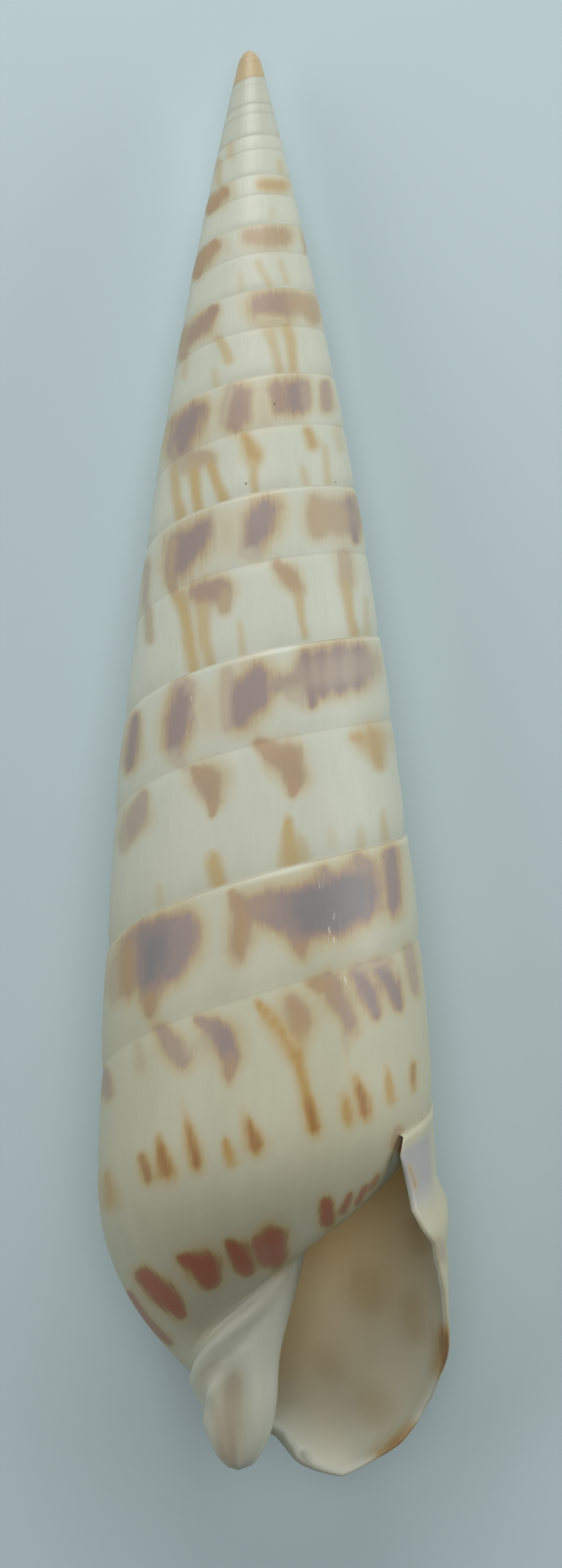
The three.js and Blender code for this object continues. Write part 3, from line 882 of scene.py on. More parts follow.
@dataclass(frozen=True)
class HiddenSide:
    """Scatters markings of the same kinds over the side that the picture doesn't show.

    They come in groups: a blot on the band, at times a second one beside it, a flame below the
    groove, and a paler foot. A span is the least and the most that chance may give.
    """

    seed: int = 11
    edge: float = math.radians(100)
    fade: float = math.radians(14)
    softness: float = 0.3
    least_size: float = 0.2
    reach: float = 0.2
    band: BlotKind = BlotKind((P, B, M), 1.5, 1.5)
    second: BlotKind = BlotKind((T, M), 1.1, 1.0)
    flame: BlotKind = BlotKind((T, M, T), 0.55, 1.3)
    foot: BlotKind = BlotKind((G, R, G), 0.32, 0.9)
    base: BlotKind = BlotKind((K,), 0.9, 0.7)
    oldest: int = -7
    groups: int = 4
    first: float = 0.31
    spacing: float = 0.13
    aside: float = 0.03
    second_chance: float = 0.6
    band_drops: Span = (0.45, 0.65)
    second_drops: Span = (0.4, 0.7)
    flame_drop: float = 0.16
    foot_drop: float = 0.88
    base_turns: Span = (0.33, 0.42, 0.52, 0.61, 0.7)
    base_drop: float = 16.3
    group_shift: float = 0.03
    flame_shift: float = 0.04
    base_shift: float = 0.02
    widths: Span = (0.75, 1.3)
    heights: Span = (0.8, 1.25)
    leans: Span = (-0.3, 0.1)
    strengths: Span = (0.7, 1.0)

    def blots(self, form: Form) -> list[Blot]:
        """Draws the blots, whorl by whorl.

        Args:
            form: The shell's form.

        Returns:
            The blots.
        """
        chance = np.random.default_rng(self.seed)
        spiral = form.spiral
        found: list[Blot] = []

        def shifted(turn: float, most: float) -> float:
            """Moves a turn a little either way."""
            return turn + chance.uniform(-most, most)

        def add(kind: BlotKind, turn: float, drop: float) -> None:
            """Adds one blot.

            Args:
                kind: Its kind.
                turn: The turn of its middle.
                drop: The drop of its middle.
            """
            size = float(spiral.growth(turn))
            tint = kind.tints[int(chance.integers(len(kind.tints)))]
            wide = kind.wide * (size * chance.uniform(*self.widths))
            tall = kind.tall * (size * chance.uniform(*self.heights))
            lean = chance.uniform(*self.leans)
            found.append(Blot(tint, turn, drop, wide, tall, lean, chance.uniform(*self.strengths)))

        for whorl in range(self.oldest, 1):
            for step in range(self.groups):
                turn = shifted(whorl + self.first + self.spacing * step, self.group_shift)
                height = float(spiral.whorl(turn))
                groove = float(spiral.groove_share(turn)) * height
                add(self.band, turn, groove * chance.uniform(*self.band_drops))
                if chance.random() < self.second_chance:
                    add(self.second, turn + self.aside, groove * chance.uniform(*self.second_drops))
                flame = shifted(turn, self.flame_shift)
                add(self.flame, flame, groove + self.flame_drop * height)
                add(self.foot, flame + self.aside, self.foot_drop * height)
        for turn in self.base_turns:
            add(self.base, shifted(turn, self.base_shift), self.base_drop)
        return found

    def depth(self, form: Form, turn: Array, drop: Array) -> tuple[Array, ...]:
        """Lays the blots on places of the growth surface.

        Args:
            form: The shell's form.
            turn: The turns.
            drop: The drops.

        Returns:
            The depth within the nearest blot, its tint and its strength.
        """
        found = np.zeros((3, *turn.shape))
        found[0] = OUT
        radius = form.spire_radius(form.height_at(turn, drop))
        for blot in self.blots(form):
            near = np.abs(turn - blot.turn) < self.reach
            size = float(form.spiral.growth(blot.turn))
            down = drop[near] - blot.drop
            across = (turn[near] - blot.turn) * 2 * np.pi * radius[near] - blot.lean * down
            away = np.hypot(across / blot.wide, down / blot.tall)
            inside = (1 - away) * min(blot.wide, blot.tall) / (self.softness * max(size, self.least_size))
            laid = np.stack(np.broadcast_arrays(inside, blot.tint.value, blot.strength))
            found[:, near] = np.where(inside > found[0][near], laid, found[:, near])
        return np.clip(found[0], OUT, DEEP), found[1], found[2]


@dataclass
class Sheet:
    """A grid of places in columns and rows, with what its surface knows about itself.

    Inside is 1 on the tube's lining, and deep is how many turns a place lies behind the lip.
    """

    places: Array
    turn: float | Array
    drop: float | Array
    flipped: bool = False
    inside: float | Array = 0.0
    deep: float | Array = 0.0
    on_pillar: bool = False

    def __post_init__(self) -> None:
        """Spreads what is the same everywhere over the grid."""
        shape = self.places.shape[:2]
        for name in ("turn", "drop", "inside", "deep"):
            setattr(self, name, np.broadcast_to(np.asarray(getattr(self, name), float), shape))

    @property
    def outer(self) -> Array:
        """Which places are on the outside."""
        return self.inside < 0.5

    def triangles(self, start: int) -> Array:
        """The grid's triangles, as numbers of its corners counted from a start.

        Args:
            start: The number of the grid's first corner.

        Returns:
            Three corners for each triangle.
        """
        columns, rows = self.places.shape[:2]
        corner = start + np.arange(columns * rows).reshape(columns, rows)
        a, b = corner[:-1, :-1].ravel(), corner[1:, :-1].ravel()
        c, d = corner[1:, 1:].ravel(), corner[:-1, 1:].ravel()
        faces = np.concatenate([np.stack([a, b, c], 1), np.stack([a, c, d], 1)])
        return faces[:, ::-1] if self.flipped else faces


@dataclass(frozen=True)
class Weave:
    """How finely the shell's net is woven."""

    columns: int = 192
    front_crowding: float = 0.5
    band_rows: tuple[float, ...] = (
        0, 0.03, 0.08, 0.16, 0.28, 0.42, 0.57, 0.72, 0.84, 0.92, 0.97,
    )
    lower_rows: tuple[float, ...] = (
        0, 0.015, 0.035, 0.065, 0.11, 0.17, 0.24, 0.31, 0.38, 0.45, 0.52, 0.59, 0.66, 0.73, 0.8,
        0.86, 0.915, 0.955, 0.98, 0.993, 1,
    )
    base_rows: int = 24
    pillar_rows: int = 20
    inner_rows: int = 24
    columella_rows: int = 10
    side_columns: int = 40
    lip_columns: int = 4
    lip_fade_above: int = 6
    lip_fade_below: int = 4
    tube_fine: int = 2
    tube_coarse: int = 8
    tube_turns: float = 2.25
    cap_depth: float = 3.0
    halvings: int = 60
    decimals: int = 4

    def turns(self, spiral: Spiral) -> Array:
        """The columns' turns, from the lip back to a turn past the point, crowded at the front.

        Args:
            spiral: The spiral.

        Returns:
            The turns.
        """

        def turn_of(phase: Array) -> Array:
            """Crowds evenly spaced phases towards the front."""
            return phase - self.front_crowding * np.sin(2 * np.pi * phase) / (2 * np.pi)

        low, high = spiral.last - 0.5, spiral.last + 0.5
        for _ in range(self.halvings):
            middle = (low + high) / 2
            low, high = (middle, high) if turn_of(middle) < spiral.last else (low, middle)
        count = math.ceil((spiral.turn_count + 1) * self.columns)
        return turn_of(low - np.arange(count + 1) / self.columns)

    def rows(self, spiral: Spiral, turn: Array) -> Array:
        """The drops of a whorl's rows.

        Args:
            spiral: The spiral.
            turn: The turns of the columns.

        Returns:
            Drops, one row of them for each turn.
        """
        height = spiral.whorl(turn)[:, None]
        groove = spiral.groove_share(turn)[:, None] * height
        band = np.array(self.band_rows) * groove
        lower = groove + np.array(self.lower_rows) * (height - groove)
        return np.concatenate([band, lower], axis=1)


@dataclass
class Shell:
    """The whole auger shell: its outside, its lip, the tube behind the opening and the pillar."""

    form: Form
    weave: Weave
    picture: Picture
    resting: Resting
    markings: Markings
    hidden: HiddenSide
    name: str = "auger_shell"
    offset: Array | None = None

    def outside(self, turns: Array) -> list[Sheet]:
        """The outside of all whorls, and the base of the last one.

        Args:
            turns: The columns' turns, from the point to the lip.

        Returns:
            The two grids.
        """
        form, spiral = self.form, self.form.spiral
        drop = self.weave.rows(spiral, turns)
        turn = form.lean_back(turns[:, None], drop)
        places = form.on_whorl(turn, drop)
        places[:, 0] = form.on_seam(turns)
        last = turns >= spiral.mouth - TINY
        share = np.linspace(0, 1, self.weave.base_rows + 1)
        base_drop = mix(spiral.last_whorl, form.base_drop, share)
        base_turn = form.lean_back(turns[last, None], base_drop)
        base = form.on_whorl(base_turn, base_drop)
        base[:, 0] = places[last, -1]
        return [Sheet(places, turn, drop), Sheet(base, base_turn, base_drop)]

    def wall(self, turns: Array) -> Sheet:
        """The tube's outer wall.

        Args:
            turns: The columns' turns.

        Returns:
            The grid.
        """
        form, spiral = self.form, self.form.spiral
        corner = form.corner(turns)[:, None]
        end = (form.base_drop * spiral.growth(turns))[:, None]
        share = np.linspace(0, 1, self.weave.base_rows + 1)[1:]
        base = mix(spiral.whorl(turns)[:, None], end, share)
        drops = np.concatenate([self.weave.rows(spiral, turns), base], axis=1)
        lowered = mix(corner, end, drops / end)
        turn = form.lean_back(turns[:, None], lowered)
        places = form.inside_of(turn, lowered)
        above = turns - 1
        places[:, 0] = form.on_whorl(above, spiral.whorl(above) + corner[:, 0])
        foot = form.lean_back(turns, end[:, 0])
        places[:, -1] = form.on_pillar(foot - 1, form.foot_height(foot))
        deep = form.lip.turn(lowered) - turn
        return Sheet(places, turn, lowered, flipped=True, inside=1.0, deep=deep)

    def roof(self, top: Array, foot: Array, foot_height: Array) -> Sheet:
        """The tube's roof, which is the base of the whorl before it, and the pillar inside it.

        Args:
            top: The turn at the top of each column.
            foot: The turn at its foot.
            foot_height: The height of its foot.

        Returns:
            The grid.
        """
        form, spiral = self.form, self.form.spiral
        inner, stem = self.weave.inner_rows, self.weave.columella_rows
        rows = inner + stem
        slant = smooth(np.arange(rows + 1) / rows)
        turn = mix(top[:, None], foot[:, None], slant) - 1
        start = spiral.whorl(turn) + form.corner(top)[:, None]
        down = np.linspace(0, 1, inner + 1)
        drop = mix(start[:, : inner + 1], (form.base_drop * spiral.growth(turn))[:, : inner + 1], down)
        base = form.on_whorl(turn[:, : inner + 1], drop)
        share = np.arange(1, stem + 1) / stem
        height = mix(form.waist(turn[:, inner + 1 :]), foot_height[:, None], share)
        stalk = form.on_pillar(turn[:, inner + 1 :], height)
        stalk_drop = height - spiral.seam(turn[:, inner + 1 :])
        drops = np.concatenate([drop, stalk_drop], axis=1)
        deep = np.maximum(form.lip.turn(form.base_drop * slant) - (turn + 1), 0.0)
        edge = form.lining.at(drops - spiral.whorl(turn))
        return Sheet(np.concatenate([base, stalk], axis=1), turn, drops, inside=edge, deep=deep)

    def lip_edge(self, outer: Array, inner: Sheet) -> Sheet:
        """The rounded edge of the lip, between the outside and the wall.

        Args:
            outer: The last column of the outside, its base included.
            inner: The wall.

        Returns:
            The grid.
        """
        form, lip, weave = self.form, self.form.lip, self.weave
        wall, drop = inner.places[-1], inner.drop[-1]
        rows = np.arange(drop.size)
        turn = lip.turn(drop)
        ahead = form.on_whorl(turn + 2 * STEP, drop) - form.on_whorl(turn, drop)
        ahead /= np.linalg.norm(ahead, axis=1, keepdims=True)
        fade = smooth(rows / weave.lip_fade_above) * smooth((rows[-1] - rows) / weave.lip_fade_below)
        share = np.arange(weave.lip_columns + 1) / weave.lip_columns
        bulge = 0.5 * lip.thickness(drop) * np.sin(np.pi * share)[:, None] * fade
        places = mix(outer, wall, share[:, None, None]) + bulge[..., None] * ahead
        heights = mix(form.waist(lip.foot), form.foot_height(lip.foot), share)
        places[:, -1] = form.on_pillar(lip.foot, heights)
        places[0], places[-1] = outer, wall
        return Sheet(places, turn, drop, inside=share[:, None])

    def pillar(self, turns: Array, side: Sheet, side_feet: Array) -> Sheet:
        """The rest of the pillar, down to its rounded end.

        Args:
            turns: The turns of the last whorl's columns, from the lip's meridian to the lip.
            side: The side of the base that faces the opening.
            side_feet: The heights of that side's feet.

        Returns:
            The grid.
        """
        form, foot = self.form, self.form.lip.foot
        waist_turn = form.lean_back(turns, form.base_drop)
        share = np.arange(1, self.weave.lip_columns) / self.weave.lip_columns
        edge_turn = np.full(share.size, foot)
        edge = mix(form.waist(foot), form.foot_height(foot), share)
        turn = np.concatenate([waist_turn, edge_turn, side.turn[:, -1] + 1])
        top = np.concatenate([form.waist(waist_turn), edge, side_feet])
        on_turn = np.concatenate([waist_turn, edge_turn, side.turn[:, -1]])
        down = np.linspace(0, 1, self.weave.pillar_rows + 1)
        down = mix(down, np.sin(down * np.pi / 2), 0.5)
        heights = mix(top[:, None], form.pillar.end, down)
        places = form.on_pillar(on_turn[:, None], heights)
        return Sheet(places, turn[:, None], form.base_drop + heights - top[:, None], on_pillar=True)

    def sheets(self) -> list[Sheet]:
        """All the grids of the shell, in its own frame.

        Returns:
            The grids.
        """
        form, weave, spiral = self.form, self.weave, self.form.spiral
        turns = weave.turns(spiral)
        fine = turns[: weave.columns + 1 : weave.tube_fine]
        deep = int(weave.tube_turns * weave.columns)
        coarse = turns[weave.columns + weave.tube_coarse : deep + 1 : weave.tube_coarse]
        tube_turns = np.concatenate([fine, coarse])[::-1]
        outside, base = self.outside(turns[::-1])
        wall = self.wall(tube_turns)
        feet = form.lean_back(tube_turns, form.base_drop)
        roof = self.roof(tube_turns, feet, form.foot_height(feet))
        outer_column = np.concatenate([outside.places[-1], base.places[-1, 1:]])
        lip = self.lip_edge(outer_column, wall)
        share = np.arange(weave.side_columns + 1) / weave.side_columns
        foot_turn = mix(form.lip.foot, spiral.last, share)
        foot_height = mix(form.foot_height(form.lip.foot), form.waist(spiral.mouth), share)
        side = self.roof(np.full(share.size, spiral.last), foot_turn, foot_height)
        last_turns = turns[: weave.columns + 1][::-1]
        pillar = self.pillar(last_turns, side, foot_height)
        return [outside, base, wall, roof, lip, side, pillar, self.cap(roof, wall)]

    def cap(self, roof: Sheet, wall: Sheet) -> Sheet:
        """The closed upper end of the tube, as a fan from its middle.

        Args:
            roof: The tube's roof.
            wall: The tube's outer wall.

        Returns:
            The grid.
        """
        ring = np.concatenate([roof.places[0], wall.places[0, 1:-1][::-1], roof.places[0, :1]])
        middle = np.broadcast_to(ring[:-1].mean(axis=0), ring.shape)
        places = np.stack([middle, ring], axis=1)
        return Sheet(places, roof.turn[0, 0], 0.0, flipped=True, inside=1.0, deep=self.weave.cap_depth)

    def marks(self, sheet: Sheet) -> Array:
        """The markings on a grid.

        Args:
            sheet: The grid.

        Returns:
            For each place the depth within a mark, its tint and its strength.
        """
        markings, hidden = self.markings, self.hidden
        across, down = self.picture.seen(sheet.places)
        marks = np.zeros((3, *sheet.turn.shape))
        marks[0] = OUT
        whorl = np.round(sheet.turn)
        off = np.abs(sheet.turn - whorl) * 2 * np.pi
        turned_away = np.maximum(0.0, off - markings.seen) / markings.fade
        for number, layer in markings.strokes.items():
            here = sheet.outer & (whorl == number)
            if here.any():
                marks[:, here] = markings.layer(layer, across[here], down[here])
                marks[0][here] = np.maximum(marks[0][here] - turned_away[here], OUT)
        near = ~sheet.outer & (sheet.deep < markings.lining_depth)
        if near.any():
            marks[:, near] = markings.layer(markings.inner, across[near], down[near])
        if sheet.outer.any() and not sheet.on_pillar:
            found = np.stack(hidden.depth(self.form, sheet.turn, sheet.drop))
            ease = smooth((off - hidden.edge) / hidden.fade)
            found[0] = np.minimum(found[0], mix(OUT, DEEP, ease))
            behind = sheet.outer & (off > hidden.edge) & (found[0] > marks[0])
            marks[:, behind] = found[:, behind]
        return np.moveaxis(marks, 0, -1)

    def glinting(self, sheet: Sheet) -> Array:
        """How strongly a grid's places carry the painted highlights, white streaks where fine scratches
        catch the light, from 0 to 1.

        Args:
            sheet: The grid.

        Returns:
            A number for each place.
        """
        across, down = self.picture.seen(sheet.places)
        found = self.markings.layer(self.markings.glints, across, down)
        front = np.cos(2 * np.pi * sheet.turn) > self.markings.glints_face
        return np.where(front & sheet.outer, smooth(found[0]) * found[2], 0.0)

    def build(self) -> bpy.types.Object:
        """Makes the shell's object.

        Returns:
            The object, with its net in metres and its markings as attributes of the net's corners.
        """
        spiral = self.form.spiral
        rows: dict[str, list[Array]] = {"places": [], "place": [], "mark": [], "zone": []}
        faces, start = [], 0
        for sheet in self.sheets():
            faces.append(sheet.triangles(start))
            start += sheet.turn.size
            groove = sheet.drop - spiral.groove_share(sheet.turn) * spiral.whorl(sheet.turn)
            found = {
                "places": sheet.places,
                "place": np.stack([sheet.turn, sheet.drop, groove], axis=-1),
                "mark": self.marks(sheet),
                # the zone's third number is the share of painted highlight streaks
                "zone": np.stack([sheet.inside, sheet.deep, self.glinting(sheet)], axis=-1),
            }
            for name, values in found.items():
                rows[name].append(values.reshape(-1, 3))
        table = {name: np.concatenate(values) for name, values in rows.items()}
        turned = self.resting.turned(table.pop("places"))
        self.offset = self.resting.offset(turned)
        set_down = turned + self.offset
        set_down[:, 2] = np.maximum(set_down[:, 2], 0.0)
        near = np.round(set_down, self.weave.decimals)
        _, first, joined = np.unique(near, axis=0, return_index=True, return_inverse=True)
        corners = np.concatenate(faces)
        whole = joined.ravel()[corners]
        kept = (whole != np.roll(whole, 1, axis=1)).all(axis=1)
        corners = corners[kept].ravel()
        mesh = self.mesh(set_down[first] * METRES, whole[kept])
        for name, values in table.items():
            self.store(mesh, name, values[corners])
        flat = table["place"][corners, :2] / (1.0, spiral.last_whorl)
        layer = mesh.uv_layers.new(name="whorls")
        layer.data.foreach_set("uv", flat.astype(np.float32).ravel())
        mesh.update(calc_edges=True)
        if mesh.validate():
            LOG.warning("%s had faces that had to be mended", self.name)
        shell = bpy.data.objects.new(self.name, mesh)
        bpy.context.scene.collection.objects.link(shell)
        return shell

    @staticmethod
    def mesh(places: Array, faces: Array) -> bpy.types.Mesh:
        """Makes a smooth mesh of triangles.

        Args:
            places: The corners' places, in metres.
            faces: Three corners for each triangle.

        Returns:
            The mesh.
        """
        mesh = bpy.data.meshes.new("auger_shell_surface")
        mesh.vertices.add(len(places))
        mesh.vertices.foreach_set("co", places.astype(np.float32).ravel())
        mesh.loops.add(faces.size)
        mesh.loops.foreach_set("vertex_index", faces.astype(np.int32).ravel())
        mesh.polygons.add(len(faces))
        mesh.polygons.foreach_set("loop_start", np.arange(0, faces.size, 3, dtype=np.int32))
        mesh.update(calc_edges=True)
        mesh.shade_smooth()
        return mesh

    @staticmethod
    def store(mesh: bpy.types.Mesh, name: str, values: Array) -> None:
        """Stores three numbers for each corner of the net."""
        attribute = mesh.attributes.new(name, "FLOAT_VECTOR", "CORNER")
        attribute.data.foreach_set("vector", values.astype(np.float32).ravel())


Socket = bpy.types.NodeSocket
Value = Socket | float | Colour
# The mix node's sockets for colours, which share their names with those for numbers
MIX_A, MIX_B, MIX_OUT = 6, 7, 2


@dataclass(frozen=True)
class Noise:
    """How fine a cloudy texture is, how much detail it has and how rough that is."""

    scale: float
    detail: float
    rough: float


class Graph:
    """Writes a material's nodes as plain sums."""

    def __init__(self, name: str) -> None:
        """Starts an empty material, with the place on the object at hand.

        Args:
            name: Its name.
        """
        self.material = bpy.data.materials.new(name)
        self.material.use_nodes = True
        self.tree = self.material.node_tree
        self.tree.nodes.clear()
        self.solid = self.node("TexCoord").outputs["Object"]

    def node(self, kind: str, *inputs: tuple[int | str, Value], **options: object) -> bpy.types.Node:
        """Adds a node.

        Args:
            kind: The node's kind.
            inputs: Pairs of an input and what feeds it.
            options: The node's options.

        Returns:
            The node.
        """
        made = self.tree.nodes.new("ShaderNode" + kind)
        for name, value in options.items():
            setattr(made, name, value)
        for name, value in inputs:
            if isinstance(value, Socket):
                self.tree.links.new(value, made.inputs[name])
            else:
                made.inputs[name].default_value = value
        return made

    def math(self, operation: str, a: Value, b: Value = 0.0, clamp: bool = False) -> Socket:
        """Works out one sum of two values."""
        return self.node("Math", (0, a), (1, b), operation=operation, use_clamp=clamp).outputs[0]

    def times(self, first: Value, *others: Value) -> Socket:
        """Multiplies values, two or more.

        Args:
            first: The first one.
            others: The rest.

        Returns:
            The product.
        """
        for other in others:
            first = self.math("MULTIPLY", first, other)
        return first

    def plus(self, first: Value, *others: Value) -> Socket:
        """Adds values up, two or more.

        Args:
            first: The first one.
            others: The rest.

        Returns:
            The sum.
        """
        for other in others:
            first = self.math("ADD", first, other)
        return first

    def sway(self, noise: Socket, amount: float) -> Socket:
        """How far a noise strays from its middle, times an amount."""
        return self.times(self.math("SUBTRACT", noise, 0.5), amount)

    def ease(self, value: Value, start: float, end: float, low: float = 0.0, high: float = 1.0) -> Socket:
        """Eases from low to high while a value goes from start to end."""
        values = enumerate((value, start, end, low, high))
        return self.node("MapRange", *values, interpolation_type="SMOOTHSTEP").outputs[0]

    def parts(self, name: str) -> tuple[Socket, ...]:
        """The three numbers of one of the net's attributes."""
        source = self.node("Attribute", attribute_type="GEOMETRY", attribute_name=name)
        return tuple(self.node("SeparateXYZ", (0, source.outputs["Vector"])).outputs)

    def vector(self, x: Value, y: Value, z: Value = 0.0) -> Socket:
        """Joins three numbers."""
        return self.node("CombineXYZ", *enumerate((x, y, z))).outputs[0]

    def noise(self, place: Value, noise: Noise) -> Socket:
        """Cloudy values round a half."""
        sizes = ("Scale", noise.scale), ("Detail", noise.detail), ("Roughness", noise.rough)
        return self.node("TexNoise", ("Vector", place), *sizes).outputs[0]

    def specks(self, scale: float) -> Socket:
        """The distance from scattered points."""
        return self.node("TexVoronoi", ("Vector", self.solid), ("Scale", scale)).outputs["Distance"]

    def blend(self, share: Value, a: Value, b: Value, how: str = "MIX") -> Socket:
        """Lays colour b over colour a by a share."""
        inputs = (0, share), (MIX_A, a), (MIX_B, b)
        return self.node("Mix", *inputs, data_type="RGBA", blend_type=how).outputs[MIX_OUT]

    def shaded(self, colour: Value, shade: Socket) -> Socket:
        """Darkens a colour by a shade."""
        return self.blend(1.0, colour, self.vector(shade, shade, shade), "MULTIPLY")

    def ramp(self, value: Value, stops: tuple[tuple[float, Colour], ...]) -> Socket:
        """Colours along a line from 0 to 1.

        Args:
            value: Where on the line.
            stops: Places on the line with their colours.

        Returns:
            The colour.
        """
        made = self.node("ValToRGB", (0, value))
        band = made.color_ramp
        while len(band.elements) < len(stops):
            band.elements.new(1.0)
        for element, (place, colour) in zip(band.elements, stops):
            element.position = place
            element.color = colour
        return made.outputs[0]

    def surface(self, **inputs: Value) -> bpy.types.Material:
        """Ends the material in one surface shader.

        Args:
            inputs: What feeds the shader, with an underscore for each space in an input's name.

        Returns:
            The material.
        """
        named = ((name.replace("_", " "), value) for name, value in inputs.items())
        shader = self.node("BsdfPrincipled", *named)
        self.node("OutputMaterial", (0, shader.outputs[0]))
        return self.material


@dataclass(frozen=True)
class ShellFinish:
    """The shell's colours and gloss. A span is where an ease starts and ends, then its low and high."""

    cream: Colour = paint(199, 203, 186)
    beige: Colour = paint(187, 184, 153)
    tip: Colour = paint(188, 160, 110)
    worn: Colour = paint(160, 164, 150)
    # painted highlight: the white of the glints on fine scratches
    glint_white: Colour = paint(240, 238, 228)
    bruise: Colour = paint(158, 158, 168)
    pore: Colour = paint(92, 80, 68)
    # darker lines at the seam and the groove: partly their own colour, partly painted shade in these
    # creases
    line: Colour = paint(132, 120, 100)
    # the lining: its own warm tone, made brighter and more golden deeper in as painted glow, standing in
    # for light that shines through the thin wall and bounces inside
    ivory: Colour = paint(226, 220, 194)
    tan: Colour = paint(250, 225, 168)
    umber: Colour = paint(254, 213, 126)
    lining_stops: Span = (0.0, 0.07, 0.2, 0.42)
    tints: tuple[tuple[float, Colour], ...] = (
        (0.0, paint(160, 92, 62)),
        (0.25, paint(154, 108, 44)),
        (0.42, paint(180, 148, 84)),
        (0.5, paint(186, 164, 114)),
        (0.665, paint(170, 142, 106)),
        (0.775, paint(160, 136, 118)),
        (0.89, paint(146, 128, 123)),
        (1.0, paint(124, 120, 120)),
    )
    index: float = 1.53
    roughness: Span = (0.3, 0.7, 0.4, 0.53)
    bump_strength: float = 0.14
    bump_metres: float = 0.0002
    grain_height: float = 0.15
    clouds: Noise = Noise(160, 3, 0.55)
    grain: Noise = Noise(900, 2, 0.6)
    streaks: Noise = Noise(55, 3, 0.6)
    threads: Noise = Noise(170, 2, 0.6)
    patches: Noise = Noise(60, 2, 0.5)
    # the fine streaks of the painted highlights and the breaks in them
    glint_hairs: Noise = Noise(520, 3, 0.7)
    glint_gaps: Noise = Noise(700, 3, 0.6)
    streak_stretch: float = 0.004
    glint_stretch: float = 0.003
    patch_span: Span = (0.35, 0.7, 0.0, 0.15)
    drop_per_turn: float = 15.0
    age_span: Span = (-1.0, 0.8, 0.0, 0.75)
    spout_span: Span = (18.6, 20.4, 0.0, 0.85)
    bruise_turns: Span = (0.775, 0.81)
    bruise_top: Span = (0.5, 1.1)
    bruise_foot: Span = (2.6, 4.4, 0.7, 0.0)
    worn_turns: Span = (-6.0, -8.5, 0.0, 0.35)
    tip_turns: Span = (-9.2, -9.9, 0.0, 0.75)
    streak_shade: Span = (0.3, 0.7, 0.98, 1.015)
    thread_shade: Span = (0.3, 0.7, 0.985, 1.01)
    mark_clouds: float = 0.7
    mark_streaks: float = 1.5
    mark_threads: float = 1.2
    cover_span: Span = (-2.0, 1.1)
    level_span: Span = (-0.7, 1.8)
    warmth: float = 1.6
    mark_cover: float = 0.94
    lining_cover: float = 0.85
    lining_clouds: float = 0.1
    lining_span: Span = (0.3, 0.7)
    pore_scale: float = 330.0
    pore_span: Span = (0.014, 0.03, 0.7, 0.0)
    # where the painted highlight streaks show, and how strongly
    glint_hair_span: Span = (0.56, 0.66)
    glint_gap_span: Span = (0.42, 0.56)
    glint_cover: float = 0.75
    groove_span: Span = (0.0, 0.13, 0.35, 0.0)
    seam_span: Span = (0.0, 0.16, 1.0, 0.0)
    line_cover: float = 0.4

    def material(self) -> bpy.types.Material:
        """Writes the material."""
        return ShellPaint(self).write()


